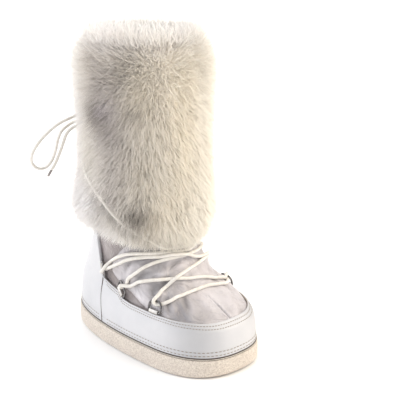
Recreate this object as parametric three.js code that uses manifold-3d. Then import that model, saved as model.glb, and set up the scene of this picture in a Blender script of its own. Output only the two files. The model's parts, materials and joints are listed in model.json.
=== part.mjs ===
// Winter boot: a flat crepe outsole, a leather rand and counter round a satin upper, a lace through
// six rings, and a tall shaft under deep fur. Millimetres, +Z up, toe toward -Y, the origin on the
// floor under the middle of the sole.
import * as THREE from 'three';
import Module from 'manifold-3d';
import { mergeVertices } from 'three/addons/utils/BufferGeometryUtils.js';

const wasm = await Module();
wasm.setup();

// Sizes of the last and the shaft
const LENGTH = 280;
const BALL_WIDTH = 139;
const INSTEP_RISE = 114;
const SHAFT_DIAMETER = 118;
const SHAFT_RISE = 240;
const SHAFT_SETBACK = 26;

// Layers from the floor up, and walls
const SOLE_HEIGHT = 23.5;
const MIDSOLE_THICKNESS = 2.4;
const INSOLE_THICKNESS = 5;
const WALL = 2.6;
const OVERLAY_THICKNESS = 2.6;
const GAP = 0.3;

// Outsole
const SOLE_MARGIN = 4.2;
const SOLE_EDGE_ROUND = 2.4;
const TOE_SPRING = 2.5;
const TOE_SPRING_LENGTH = 46;
const RIM_RISE = 0.5;
const TREAD_RIM = 9;
const LUG_PITCH = 17;
const LUG_WIDTH = 11;
const LUG_ROOT = 1.2;
const GROOVE_DEPTH = 3;
const ARCH_LENGTH = 50;
const ARCH_CENTRE = 28;
const MIDSOLE_MARGIN = 3.6;

// Rand and counter, seen from the side
const RAND_TOE_HEIGHT = 64;
const RAND_SIDE_HEIGHT = 69;
const SEAM_HEIGHT = 84;
const SEAM_PLACE = 45;
const SEAM_LEAN = 5;
const SEAM_GAP = 0.6;
const COUNTER_HEIGHT = 150;
const COUNTER_LEAN = 16;

// Fur round the shaft
const FUR_DEPTH = 20;
const FUR_ABOVE_SHAFT = 10;
const FUR_CLEARANCE = 0.6;
const HEM_FRONT = 138;
const HEM_BACK = 164;
const LOCK_LENGTH = 58;
const LOCK_WIDTH = 54;
const LOCK_FLATNESS = 0.24;
const LOCK_ROOT = 6.5;
const LOCK_PITCH = 1.33;
const LOCKS_RISE_FROM = 0.74;
const LOCKS_AROUND = 8;
const LOCK_ROWS = 5;
const FIRST_LOCKS = 0.19;
const LAST_LOCKS = 0.79;
const BOW_CLEARANCE = 50;

// Rings and clips of the lace
const WIRE = 2.6;
const RING_WIDTH = 22;
const RING_REACH = 15.5;
const RING_BAR_CORNER = 2.2;
const RING_TOP_CORNER = 6;
const CLIP_LENGTH = 14;
const CLIP_SIZE = 4.6;
const CLIP_CLEARANCE = 0.3;
const CLIP_STANDOFF = 0.6;

// Lace, its bow behind the shaft and its metal tips
const LACE = 4;
const LACE_STEP = 3;
const LACE_LIFT = 1.45;
const LONGEST_TURN = 20;
const LACE_BED = 1;
const KNOT_WIDTH = 15;
const AGLET = 3.4;
const AGLET_LENGTH = 9;

// Facets round a section, in its front and rear halves
const FRONT_FACETS = 16;
const REAR_FACETS = 18;
const WIRE_SIDES = 5;
const CROSSING_SIDES = 5;
const CORD_SIDES = 8;
const LOCK_SIDES = 4;

const FEATHER = SOLE_HEIGHT + GAP + MIDSOLE_THICKNESS + GAP;
const INSTEP_TOP = FEATHER + INSTEP_RISE;
const SHAFT_TOP = INSTEP_TOP + SHAFT_RISE;

// Sections of the last from the feather line to the top of the instep. up: share of INSTEP_RISE.
// heel, toe, widest: shares of LENGTH behind (+) or before (-) the origin. half: share of BALL_WIDTH.
// heelCurve, toeCurve: exponents of the outline's rear and front halves, 2 for an ellipse.
const FOOT_SECTIONS = [
  { up: 0.00, heel: 0.484, toe: -0.489, widest: -0.178, half: 0.473, heelCurve: 2.22, toeCurve: 2.45 },
  { up: 0.26, heel: 0.476, toe: -0.474, widest: -0.166, half: 0.464, heelCurve: 2.20, toeCurve: 2.47 },
  { up: 0.36, heel: 0.467, toe: -0.425, widest: -0.155, half: 0.448, heelCurve: 2.20, toeCurve: 2.60 },
  { up: 0.42, heel: 0.460, toe: -0.380, widest: -0.140, half: 0.434, heelCurve: 2.15, toeCurve: 2.70 },
  { up: 0.47, heel: 0.453, toe: -0.330, widest: -0.112, half: 0.420, heelCurve: 2.10, toeCurve: 2.70 },
  { up: 0.52, heel: 0.445, toe: -0.280, widest: -0.064, half: 0.409, heelCurve: 2.05, toeCurve: 2.55 },
  { up: 0.60, heel: 0.432, toe: -0.238, widest: -0.010, half: 0.402, heelCurve: 2.00, toeCurve: 2.35 },
  { up: 0.71, heel: 0.411, toe: -0.202, widest: 0.028, half: 0.399, heelCurve: 2.00, toeCurve: 2.20 },
  { up: 0.84, heel: 0.380, toe: -0.166, widest: 0.057, half: 0.400, heelCurve: 2.00, toeCurve: 2.10 },
  { up: 1.00, heel: 0.345, toe: -0.138, widest: 0.079, half: 0.405, heelCurve: 2.00, toeCurve: 2.00 },
];

// Sections of the shaft. up: share of SHAFT_RISE. radius: share of SHAFT_DIAMETER.
const SHAFT_SECTIONS = [
  { up: 0.12, radius: 0.500 },
  { up: 0.40, radius: 0.505 },
  { up: 1.00, radius: 0.515 },
];

// Top edge of the rand from the seam to the toe. place: share of LENGTH. toSide, toSeam: how far the
// edge has risen from the toe's height to the side's, and from the side's to the seam's.
const RAND_EDGE = [
  { place: 0.115, toSide: 1, toSeam: 0.74 },
  { place: 0.050, toSide: 1, toSeam: 0.55 },
  { place: 0.012, toSide: 1, toSeam: 0.12 },
  { place: -0.040, toSide: 1, toSeam: 0 },
  { place: -0.260, toSide: 0.9, toSeam: 0 },
  { place: -0.360, toSide: 0.5, toSeam: 0 },
  { place: -0.430, toSide: 0.1, toSeam: 0 },
  { place: -0.500, toSide: 0, toSeam: 0 },
];

// Outside of the fur. up: share of the height from the hem. depth: share of FUR_DEPTH.
const FUR_SECTIONS = [
  { up: 0.00, depth: 0.42 },
  { up: 0.05, depth: 0.78 },
  { up: 0.13, depth: 1.14 },
  { up: 0.25, depth: 1.10 },
  { up: 0.42, depth: 0.90 },
  { up: 0.62, depth: 0.93 },
  { up: 0.80, depth: 1.02 },
  { up: 0.92, depth: 0.88 },
  { up: 1.00, depth: 0.30 },
];

// Rings of one side. A bar lies lift above the rand's top edge at a place, a share of LENGTH, or else
// before the counter's front edge at a rise, a share of SEAM_HEIGHT. lean: turn of the bar from level,
// in degrees, along that edge. tilt: how far the ring's reach turns away from the skin, in degrees.
const RINGS = {
  front: { place: -0.200, lift: 3.0, lean: 0, tilt: 3 },
  middle: { place: 0.030, lift: 3.9, lean: 42, tilt: 20 },
  top: { rise: 1.140, before: 3.6, lean: 78, tilt: 20 },
};

// Strands of the lace from ring to ring. Each step over the vamp is a turn in degrees from the toe,
// + on the near side, and a share of the way up from SEAM_HEIGHT to the top of the instep. Each end
// names a ring and the side of its wire that the strand takes.
const STRANDS = [
  {
    from: ['near', 'front', 'under'], to: ['far', 'front', 'under'],
    over: [[60, -0.069], [45, -0.009], [28, 0.042], [10, 0.082], [-6, 0.082], [-20, 0.032], [-38, -0.029]],
  },
  {
    from: ['near', 'front', 'over'], to: ['far', 'middle', 'over'],
    over: [
      [60, 0.032], [44, 0.183], [31, 0.294], [18, 0.395], [2, 0.475], [-14, 0.506], [-36, 0.496],
      [-60, 0.354], [-82, 0.173],
    ],
  },
  {
    from: ['far', 'front', 'over'], to: ['near', 'middle', 'over'],
    over: [
      [-54, -0.009], [-36, 0.062], [-17, 0.173], [0, 0.274], [17, 0.324], [34, 0.344], [58, 0.310],
      [75, 0.243], [90, 0.112],
    ],
  },
  {
    from: ['near', 'middle', 'under'], to: ['far', 'top', 'under'],
    over: [
      [92, 0.193], [74, 0.395], [56, 0.576], [42, 0.673], [28, 0.722], [14, 0.738], [0, 0.734],
      [-24, 0.722], [-48, 0.677], [-72, 0.576], [-92, 0.465],
    ],
  },
  {
    from: ['far', 'middle', 'under'], to: ['near', 'top', 'under'],
    over: [
      [-84, 0.233], [-60, 0.395], [-38, 0.506], [-20, 0.576], [-4, 0.667], [20, 0.758], [45, 0.788],
      [64, 0.744], [79, 0.655], [93, 0.496],
    ],
  },
];

// The two runs that cross under the hem and then go round the shaft to the bow. over: as above.
const RUNS = [
  {
    side: 1,
    from: ['far', 'top', 'over'],
    over: [[-104, 0.455], [-88, 0.657], [-66, 0.778], [-42, 0.849], [-18, 0.889], [4, 0.919]],
  },
  {
    side: -1,
    from: ['near', 'top', 'over'],
    over: [[103, 0.455], [90, 0.677], [74, 0.798], [55, 0.849], [32, 0.859], [10, 0.828], [-10, 0.818]],
  },
];

// Their way round the shaft: a turn in degrees, a share of the fur's height and a share of FUR_DEPTH
const ROUND = [
  { turn: 26, up: 0.000, depth: 0.25 },
  { turn: 42, up: 0.045, depth: 0.50 },
  { turn: 57, up: 0.095, depth: 0.84 },
  { turn: 70, up: 0.150, depth: 1.00 },
  { turn: 84, up: 0.215, depth: 1.00 },
  { turn: 99, up: 0.270, depth: 0.98 },
  { turn: 116, up: 0.320, depth: 0.92 },
  { turn: 134, up: 0.365, depth: 0.88 },
  { turn: 152, up: 0.410, depth: 0.86 },
  { turn: 166, up: 0.445, depth: 0.88 },
];

// The bow, in millimetres, on the near side; the far side is its mirror image
const KNOT = [0, 109.5, 271];
const LOOP = [
  [-6.6, 110.4, 274], [-21, 111.7, 279], [-37, 112, 281], [-51.5, 111.5, 279.2], [-64.4, 113, 275.7],
  [-78, 115, 268.7], [-92.5, 118, 257], [-103, 119.5, 244.7], [-106, 120, 234.8], [-102, 120, 226],
  [-93, 119.5, 220.5], [-83, 119, 221.4], [-75, 118, 229], [-69.5, 117, 241.6], [-66, 116.5, 254],
  [-61, 115.5, 263.5], [-52, 115, 269], [-38, 115.5, 272.5], [-22, 115, 272], [-7.4, 111.5, 270.3],
];
const END = [
  [-6.5, 109, 266], [-20, 109.3, 267], [-34, 109, 268.5], [-47, 110, 267], [-55.5, 112, 260],
  [-60, 113, 250], [-64, 114.5, 239.5], [-70, 117, 225], [-75.5, 119.5, 215.5],
];
const END_TIP = [-80.5, 122, 206.5];

function footSection(row) {
  return {
    height: FEATHER + row.up * INSTEP_RISE,
    heel: row.heel * LENGTH,
    toe: row.toe * LENGTH,
    widest: row.widest * LENGTH,
    half: row.half * BALL_WIDTH,
    heelCurve: row.heelCurve,
    toeCurve: row.toeCurve,
  };
}

function shaftSection(row) {
  const radius = row.radius * SHAFT_DIAMETER;
  return {
    height: INSTEP_TOP + row.up * SHAFT_RISE,
    heel: SHAFT_SETBACK + radius,
    toe: SHAFT_SETBACK - radius,
    widest: SHAFT_SETBACK,
    half: radius,
    heelCurve: 2,
    toeCurve: 2,
  };
}

const SECTIONS = [...FOOT_SECTIONS.map(footSection), ...SHAFT_SECTIONS.map(shaftSection)];

// One column of the sections at a height, by a cubic that keeps between its rows
function column(name, height) {
  const last = SECTIONS.length - 1;
  let i = 0;
  while (i < last - 1 && height > SECTIONS[i + 1].height) i += 1;
  const slope = (k) => {
    const rise = SECTIONS[k + 1].height - SECTIONS[k].height;
    return (SECTIONS[k + 1][name] - SECTIONS[k][name]) / rise;
  };
  const tangent = (k) => {
    const before = slope(Math.max(k - 1, 0));
    const after = slope(Math.min(k, last - 1));
    return before * after > 0 ? (2 * before * after) / (before + after) : 0;
  };
  const rise = SECTIONS[i + 1].height - SECTIONS[i].height;
  const t = THREE.MathUtils.clamp((height - SECTIONS[i].height) / rise, 0, 1);
  const start = SECTIONS[i][name];
  const change = SECTIONS[i + 1][name] - start;
  const leave = tangent(i) * rise;
  const arrive = tangent(i + 1) * rise;
  return start + t * leave + t * t * (3 * change - 2 * leave - arrive)
    + t * t * t * (leave + arrive - 2 * change);
}

// A point of the last's skin: turn 0 is the toe, PI the heel
function skin(turn, height) {
  const forward = Math.cos(turn);
  const aside = Math.sin(turn);
  const power = 2 / column(forward > 0 ? 'toeCurve' : 'heelCurve', height);
  const widest = column('widest', height);
  const reach = column(forward > 0 ? 'toe' : 'heel', height) - widest;
  return new THREE.Vector3(
    -Math.sign(aside) * Math.abs(aside) ** power * column('half', height),
    widest + Math.abs(forward) ** power * reach,
    height,
  );
}

function skinNormal(turn, height) {
  const step = 0.01;
  const along = skin(turn + step, height).sub(skin(turn - step, height));
  const up = skin(turn, height + step).sub(skin(turn, Math.max(height - step, FEATHER)));
  return up.cross(along).normalize();
}

// The skin moved outward, or inward where offset is negative
function last(turn, height, offset) {
  return skin(turn, height).addScaledVector(skinNormal(turn, height), offset);
}

// The outline at the feather line grown by a margin, at any height
function outline(turn, margin, height) {
  const edge = skin(turn, FEATHER);
  const away = skinNormal(turn, FEATHER).setZ(0).normalize();
  return edge.addScaledVector(away, margin).setZ(height);
}

const TURNS = [];
for (let i = 0; i < FRONT_FACETS; i += 1) TURNS.push(((i / FRONT_FACETS) - 0.5) * Math.PI);
for (let i = 0; i < REAR_FACETS; i += 1) TURNS.push(((i / REAR_FACETS) + 0.5) * Math.PI);

// Rings of points, all with as many points, joined one to the next. A closed loft joins its last
// ring to its first, and an open one is capped at both ends.
function loft(rings, closed) {
  const around = rings[0].length;
  const points = rings.flat();
  const faces = [];
  const bands = closed ? rings.length : rings.length - 1;
  for (let r = 0; r < bands; r += 1) {
    const low = r * around;
    const high = ((r + 1) % rings.length) * around;
    const rising = points[low].z <= points[high].z;
    for (let i = 0; i < around; i += 1) {
      const j = (i + 1) % around;
      // The diagonal runs up the same way on both skins, so that neighbours stay parallel
      if (rising) faces.push(low + i, high + i, high + j, low + i, high + j, low + j);
      else faces.push(low + i, high + i, low + j, high + i, high + j, low + j);
    }
  }
  if (!closed) {
    for (const [start, turned] of [[0, true], [(rings.length - 1) * around, false]]) {
      const middle = points.length;
      const centre = new THREE.Vector3();
      for (let i = 0; i < around; i += 1) centre.addScaledVector(points[start + i], 1 / around);
      points.push(centre);
      for (let i = 0; i < around; i += 1) {
        const a = start + i;
        const b = start + ((i + 1) % around);
        faces.push(middle, ...(turned ? [a, b] : [b, a]));
      }
    }
  }
  const geometry = new THREE.BufferGeometry().setFromPoints(points);
  geometry.setIndex(faces);
  return geometry;
}

// Booleans need closed solids whose shared vertices are merged
function toSolid(geometry) {
  const bare = geometry.clone();
  bare.deleteAttribute('normal');
  bare.deleteAttribute('uv');
  const merged = mergeVertices(bare, 1e-4);
  return new wasm.Manifold(new wasm.Mesh({
    numProp: 3,
    vertProperties: new Float32Array(merged.attributes.position.array),
    triVerts: new Uint32Array(merged.index.array),
  }));
}

function toGeometry(solid) {
  const mesh = solid.getMesh();
  const geometry = new THREE.BufferGeometry();
  geometry.setAttribute('position', new THREE.BufferAttribute(mesh.vertProperties, 3));
  geometry.setIndex(new THREE.BufferAttribute(mesh.triVerts, 1));
  return geometry;
}

function join(solids) {
  return solids.reduce((sum, next) => sum.add(next));
}

// A wall between two offsets of the last, over a list of heights
function wall(heights, inner, outer) {
  const level = (height) => height === FEATHER || height === SHAFT_TOP;
  const ring = (height, offset) => TURNS.map((turn) => {
    const point = last(turn, height, offset);
    return level(height) ? point.setZ(height) : point;
  });
  const outside = heights.map((height) => ring(height, outer));
  const inside = heights.map((height) => ring(height, inner)).reverse();
  return loft([...outside, ...inside], true);
}

// Heights of the sections, the rows that every wall shares
const FOOT_HEIGHTS = FOOT_SECTIONS.map((row) => FEATHER + row.up * INSTEP_RISE);
const SHAFT_HEIGHTS = SHAFT_SECTIONS.map((row) => INSTEP_TOP + row.up * SHAFT_RISE);
const HEIGHTS = [...FOOT_HEIGHTS, ...SHAFT_HEIGHTS];

// A prism across the whole boot from an outline drawn in its side view, (y, z)
function sidePrism(corners) {
  const shape = new THREE.Shape(corners.map(([y, z]) => new THREE.Vector2(y, z)));
  const geometry = new THREE.ExtrudeGeometry(shape, { depth: 2 * BALL_WIDTH, bevelEnabled: false });
  geometry.translate(0, 0, -BALL_WIDTH);
  geometry.applyMatrix4(new THREE.Matrix4().makeBasis(
    new THREE.Vector3(0, 1, 0),
    new THREE.Vector3(0, 0, 1),
    new THREE.Vector3(1, 0, 0),
  ));
  return toSolid(geometry);
}

// Outsole: rings from the middle of the tread out round the edge and up to the flat top
function spring(point) {
  const start = TOE_SPRING_LENGTH - LENGTH / 2;
  const share = Math.max(0, (start - point.y) / TOE_SPRING_LENGTH);
  return TOE_SPRING * share * share;
}

function outsole() {
  const ring = (margin, height, share = 1) => TURNS.map((turn) => {
    const point = outline(turn, margin, height);
    point.set(point.x * share, point.y * share, height);
    return height < SOLE_HEIGHT / 2 ? point.setZ(height + spring(point)) : point;
  });
  const round = SOLE_EDGE_ROUND;
  const body = toSolid(loft([
    ring(SOLE_MARGIN - round, RIM_RISE, 0.7),
    ring(SOLE_MARGIN - round, RIM_RISE),
    ring(SOLE_MARGIN - 0.3 * round, RIM_RISE + 0.3 * round),
    ring(SOLE_MARGIN, RIM_RISE + round),
    ring(SOLE_MARGIN, SOLE_HEIGHT - 0.4 * round),
    ring(SOLE_MARGIN - 0.4 * round, SOLE_HEIGHT),
  ], false));
  const well = (margin, low, high) => toSolid(loft([
    TURNS.map((turn) => outline(turn, SOLE_MARGIN - TREAD_RIM + margin, low)),
    TURNS.map((turn) => outline(turn, SOLE_MARGIN - TREAD_RIM + margin, high)),
  ], false));
  const depth = GROOVE_DEPTH + TOE_SPRING;
  const lugs = [];
  const bars = Math.floor((LENGTH / 2 - TREAD_RIM) / LUG_PITCH);
  for (let i = -bars; i <= bars; i += 1) {
    const y = i * LUG_PITCH;
    if (Math.abs(y - ARCH_CENTRE) < ARCH_LENGTH / 2) continue;
    const foot = spring(new THREE.Vector3(0, y, 0));
    lugs.push(sidePrism([
      [y - LUG_WIDTH / 2, foot],
      [y + LUG_WIDTH / 2, foot],
      [y + LUG_WIDTH / 2, depth + LUG_ROOT],
      [y - LUG_WIDTH / 2, depth + LUG_ROOT],
    ]));
  }
  const rooted = join(lugs).intersect(well(LUG_ROOT, -LUG_ROOT, depth + 2 * LUG_ROOT));
  return toGeometry(body.subtract(well(0, -LUG_ROOT, depth)).add(rooted));
}

function plate(bottom, thickness, margin) {
  const ring = (height) => TURNS.map((turn) => outline(turn, margin, height));
  return loft([ring(bottom), ring(bottom + thickness)], false);
}

function insole() {
  const clear = -WALL - 2 * GAP;
  const bottom = FEATHER;
  const ring = (height) => TURNS.map((turn) => last(turn, height, clear).setZ(height));
  return loft([ring(bottom), ring(bottom + INSOLE_THICKNESS)], false);
}

// The seam between rand and counter leans back as it rises
function seamAt(height) {
  return SEAM_PLACE + SEAM_LEAN * (height - FEATHER) / (SEAM_HEIGHT - FEATHER);
}

// The counter's front edge follows the seam and then leans further back
function counterFront(height) {
  const share = Math.max(0, height - SEAM_HEIGHT) / (COUNTER_HEIGHT - SEAM_HEIGHT);
  return seamAt(Math.min(height, SEAM_HEIGHT)) + share * COUNTER_LEAN + SEAM_GAP / 2;
}

function edgeHeight({ toSide, toSeam }) {
  return RAND_TOE_HEIGHT + toSide * (RAND_SIDE_HEIGHT - RAND_TOE_HEIGHT)
    + toSeam * (SEAM_HEIGHT - RAND_SIDE_HEIGHT);
}

// Height of the rand's top edge at a place along the boot
function randTop(place) {
  const i = RAND_EDGE.findIndex((row) => row.place * LENGTH <= place);
  const [behind, ahead] = [RAND_EDGE[i - 1], RAND_EDGE[i]];
  return THREE.MathUtils.mapLinear(
    place, ahead.place * LENGTH, behind.place * LENGTH, edgeHeight(ahead), edgeHeight(behind),
  );
}

// Rand: the band in front of the seam, its top edge low at the toe and rising to the seam
function rand() {
  const heights = FOOT_HEIGHTS.filter((height) => height < SEAM_HEIGHT + OVERLAY_THICKNESS);
  const above = FOOT_HEIGHTS[heights.length];
  const band = toSolid(wall([...heights, above], GAP, GAP + OVERLAY_THICKNESS));
  const floor = FEATHER - 1;
  return toGeometry(band.intersect(sidePrism([
    [-LENGTH, floor],
    [seamAt(floor) - SEAM_GAP / 2, floor],
    [seamAt(SEAM_HEIGHT) - SEAM_GAP / 2, SEAM_HEIGHT],
    ...RAND_EDGE.map((row) => [row.place * LENGTH, edgeHeight(row)]),
    [-LENGTH, RAND_TOE_HEIGHT],
  ])));
}

// Counter: behind the seam, its front edge leaning back up the ankle
function counter() {
  const heights = FOOT_HEIGHTS.filter((height) => height < COUNTER_HEIGHT);
  const above = SHAFT_HEIGHTS[0];
  const band = toSolid(wall([...heights, above], GAP, GAP + OVERLAY_THICKNESS));
  const floor = FEATHER - 1;
  return toGeometry(band.intersect(sidePrism([
    [counterFront(floor), floor],
    [LENGTH, floor],
    [LENGTH, COUNTER_HEIGHT],
    [counterFront(COUNTER_HEIGHT), COUNTER_HEIGHT],
    [counterFront(SEAM_HEIGHT), SEAM_HEIGHT],
  ])));
}

// Fur: a deep sleeve round the shaft with locks fused on, hanging at the hem and standing at the top
function hemAt(place) {
  const share = (place - SHAFT_SETBACK) / SHAFT_DIAMETER + 0.5;
  return THREE.MathUtils.lerp(HEM_FRONT, HEM_BACK, share);
}

function furSkin(turn, up, depth) {
  const hem = hemAt(SHAFT_SETBACK - Math.cos(turn) * SHAFT_DIAMETER / 2);
  const height = hem + up * (SHAFT_TOP + FUR_ABOVE_SHAFT - hem);
  const point = last(turn, Math.min(height, SHAFT_TOP), FUR_CLEARANCE + depth * FUR_DEPTH);
  return point.setZ(height);
}

function furDepth(up) {
  const i = Math.max(1, FUR_SECTIONS.findIndex((row) => row.up >= up));
  const [low, high] = [FUR_SECTIONS[i - 1], FUR_SECTIONS[i]];
  return THREE.MathUtils.mapLinear(up, low.up, high.up, low.depth, high.depth);
}

// A lock is a flat pointed leaf that lies on the fur, its tip down, or up near the top
function furLock(turn, up, index) {
  const root = furSkin(turn, up, furDepth(up) - LOCK_ROOT / FUR_DEPTH);
  const out = skinNormal(turn, SHAFT_TOP).setZ(0).normalize();
  const pitch = up < LOCKS_RISE_FROM ? -LOCK_PITCH : LOCK_PITCH;
  const across = new THREE.Vector3(-out.y, out.x, 0);
  const aim = out.clone().multiplyScalar(Math.cos(pitch)).setZ(Math.sin(pitch));
  const reach = LOCK_LENGTH * (1 + 0.15 * Math.sin(5.1 * index));
  const profile = [[0, -0.5], [0.5, -0.14], [0.4, 0.1], [0, 0.5]];
  const lock = new THREE.LatheGeometry(
    profile.map(([wide, along]) => new THREE.Vector2(wide * LOCK_WIDTH, along * reach)),
    LOCK_SIDES,
  );
  lock.scale(1, 1, LOCK_FLATNESS);
  const frame = new THREE.Matrix4().makeBasis(across, aim, across.clone().cross(aim));
  lock.applyMatrix4(frame.setPosition(root.addScaledVector(aim, reach / 2)));
  return toSolid(lock);
}

function furSleeve() {
  const lining = HEIGHTS.filter((height) => height > HEM_FRONT - SHAFT_DIAMETER / 4);
  const inside = lining.map((height) => TURNS.map((turn) => last(turn, height, FUR_CLEARANCE)));
  const rim = TURNS.map((turn) => furSkin(turn, 1, 0));
  const below = { up: -0.12, depth: FUR_SECTIONS[0].depth };
  const outside = [below, ...FUR_SECTIONS].map(({ up, depth }) => (
    TURNS.map((turn) => furSkin(turn, up, depth))
  ));
  const whole = toSolid(loft([...outside, rim, ...inside.reverse()], true));
  const sleeve = whole.intersect(sidePrism([
    [-LENGTH, hemAt(-LENGTH)],
    [LENGTH, hemAt(LENGTH)],
    [LENGTH, 2 * SHAFT_TOP],
    [-LENGTH, 2 * SHAFT_TOP],
  ]));
  const locks = [];
  for (let row = 0; row < LOCK_ROWS; row += 1) {
    const up = THREE.MathUtils.lerp(FIRST_LOCKS, LAST_LOCKS, row / (LOCK_ROWS - 1));
    for (let i = 0; i < LOCKS_AROUND; i += 1) {
      const turn = 2 * Math.PI * (i + 0.5 * (row % 2)) / LOCKS_AROUND;
      const underBow = furSkin(turn, up, 1).distanceTo(new THREE.Vector3(...KNOT)) < BOW_CLEARANCE;
      if (!underBow) locks.push(furLock(turn, up, row * LOCKS_AROUND + i));
    }
  }
  return toGeometry(join([sleeve, ...locks]).subtract(laceBed()));
}

// Where the skin reaches a place along the boot, on the near side (-X) for side 1
function turnAt(place, height, side) {
  const widest = column('widest', height);
  const forward = place < widest;
  const reach = column(forward ? 'toe' : 'heel', height) - widest;
  const power = 2 / column(forward ? 'toeCurve' : 'heelCurve', height);
  const share = THREE.MathUtils.clamp((place - widest) / reach, 0, 1) ** (1 / power);
  return side * (forward ? Math.acos(share) : Math.PI - Math.acos(share));
}

// The frame of a ring: its bar lies along the carrying edge on X, its reach on Y, outward on Z
function ringFrame(row, side, tilt) {
  const onRand = row.place !== undefined;
  const height = onRand ? randTop(row.place * LENGTH) + row.lift : row.rise * SEAM_HEIGHT;
  const place = onRand ? row.place * LENGTH : counterFront(height) - row.before;
  const turn = turnAt(place, height, side);
  const out = skinNormal(turn, height);
  const lean = THREE.MathUtils.degToRad(row.lean);
  const along = new THREE.Vector3(0, Math.cos(lean), Math.sin(lean));
  along.addScaledVector(out, -along.dot(out)).normalize().multiplyScalar(-side);
  const reach = out.clone().cross(along);
  const frame = new THREE.Matrix4().makeBasis(along, reach, out);
  frame.setPosition(last(turn, height, CLIP_STANDOFF + CLIP_SIZE / 2));
  return frame.multiply(new THREE.Matrix4().makeRotationX(THREE.MathUtils.degToRad(tilt)));
}

function roundSection(diameter, sides) {
  const points = [];
  for (let i = 0; i < sides; i += 1) {
    const angle = 2 * Math.PI * (i + 0.5) / sides;
    points.push(new THREE.Vector2(Math.cos(angle), Math.sin(angle)).multiplyScalar(diameter / 2));
  }
  return points;
}

// Ring: a wire round an oblong with round corners, its bar on the local X axis
function ring() {
  const side = (RING_WIDTH - WIRE) / 2;
  const top = RING_REACH - WIRE;
  const corners = [
    { x: side, y: top, round: RING_TOP_CORNER, stops: 2 },
    { x: -side, y: top, round: RING_TOP_CORNER, stops: 2 },
    { x: -side, y: 0, round: RING_BAR_CORNER, stops: 1 },
    { x: side, y: 0, round: RING_BAR_CORNER, stops: 1 },
  ];
  const section = roundSection(WIRE, WIRE_SIDES);
  const rings = [];
  corners.forEach(({ x, y, round, stops }, quarter) => {
    const middleX = x - Math.sign(x) * round;
    const middleY = y > 0 ? y - round : round;
    for (let i = 0; i <= stops; i += 1) {
      const angle = (quarter + i / stops) * Math.PI / 2;
      rings.push(section.map((point) => new THREE.Vector3(
        middleX + (round + point.x) * Math.cos(angle),
        middleY + (round + point.x) * Math.sin(angle),
        point.y,
      )));
    }
  });
  return loft(rings, true);
}

// Clip: a folded metal strip round the ring's bar, with the bar's hole along it
function clip() {
  const half = CLIP_SIZE / 2;
  const bevel = CLIP_SIZE / 5;
  const shape = new THREE.Shape([
    [-half, bevel - half], [bevel - half, -half], [half - bevel, -half], [half, bevel - half],
    [half, half - bevel], [half - bevel, half], [bevel - half, half], [-half, half - bevel],
  ].map(([x, y]) => new THREE.Vector2(x, y)));
  const hole = roundSection(WIRE + 2 * CLIP_CLEARANCE, 8);
  shape.holes.push(new THREE.Path(hole));
  const geometry = new THREE.ExtrudeGeometry(shape, { depth: CLIP_LENGTH, bevelEnabled: false });
  geometry.translate(0, 0, -CLIP_LENGTH / 2);
  return geometry.rotateY(Math.PI / 2);
}

// Lace: a round cord through a list of points
function cord(points, diameter, sides) {
  const curve = new THREE.CatmullRomCurve3(points, false, 'centripetal');
  const steps = Math.ceil(curve.getLength() / (LACE_STEP * LACE));
  const shape = new THREE.Shape(roundSection(diameter, sides));
  return new THREE.ExtrudeGeometry(shape, { steps, extrudePath: curve });
}

// A cord with a section at each point given, for strands that turn tightly at their rings
function sweep(points, diameter) {
  const section = roundSection(diameter, CROSSING_SIDES);
  const across = new THREE.Vector3();
  const rings = points.map((point, i) => {
    const before = points[Math.max(i - 1, 0)];
    const after = points[Math.min(i + 1, points.length - 1)];
    const forward = after.clone().sub(before).normalize();
    if (i === 0) across.set(forward.y, forward.z, forward.x);
    across.addScaledVector(forward, -across.dot(forward)).normalize();
    const upward = across.clone().cross(forward);
    return section.map(({ x, y }) => (
      point.clone().addScaledVector(across, x).addScaledVector(upward, y)
    ));
  });
  return loft(rings, false);
}

const SIDES = { near: 1, far: -1 };

// A strand's end at a ring: over the wire on one side of the middle, or under it on the other. Both
// start in the ring's opening, so that two strands of one ring join there.
function strandEnd([sideName, ringName, slot]) {
  const frame = ringFrame(RINGS[ringName], SIDES[sideName], RINGS[ringName].tilt);
  const wire = RING_REACH - WIRE;
  const bend = (WIRE + LACE) / 2 + 3 * GAP;
  const hand = (slot === 'over' ? -1 : 1) * (ringName === 'top' ? -1 : 1) * SIDES[sideName];
  const lift = slot === 'over' ? bend : -bend;
  return [
    [0, wire - 1.05 * bend, 0],
    [0.3 * LACE * hand, wire - 0.85 * bend, 0.7 * lift],
    [0.5 * LACE * hand, wire - 0.1 * bend, 1.1 * lift],
    [0.7 * LACE * hand, wire + bend, lift],
  ].map(([x, y, z]) => new THREE.Vector3(x, y, z).applyMatrix4(frame));
}

function overVamp(steps) {
  const points = [];
  steps.forEach(([degrees, up], i) => {
    const [nextDegrees, nextUp] = steps[Math.min(i + 1, steps.length - 1)];
    const pieces = Math.max(1, Math.ceil(Math.abs(nextDegrees - degrees) / LONGEST_TURN));
    for (let k = 0; k < pieces; k += 1) {
      const turn = THREE.MathUtils.degToRad(THREE.MathUtils.lerp(degrees, nextDegrees, k / pieces));
      const share = THREE.MathUtils.lerp(up, nextUp, k / pieces);
      const height = THREE.MathUtils.lerp(SEAM_HEIGHT, INSTEP_TOP, share);
      points.push(last(turn, height, LACE / 2 + LACE_LIFT));
    }
  });
  return points;
}

function roundShaft(side) {
  return ROUND.map(({ turn, up, depth }) => furSkin(side * THREE.MathUtils.degToRad(turn), up, depth));
}

function laceCrossings() {
  const strands = STRANDS.map(({ from, to, over }) => (
    [...strandEnd(from), ...overVamp(over), ...strandEnd(to).reverse()]
  ));
  const runs = RUNS.map(({ from, over, side }) => (
    [...strandEnd(from), ...overVamp(over), ...roundShaft(side)]
  ));
  return toGeometry(join([...strands, ...runs].map((points) => toSolid(sweep(points, LACE)))));
}

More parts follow.
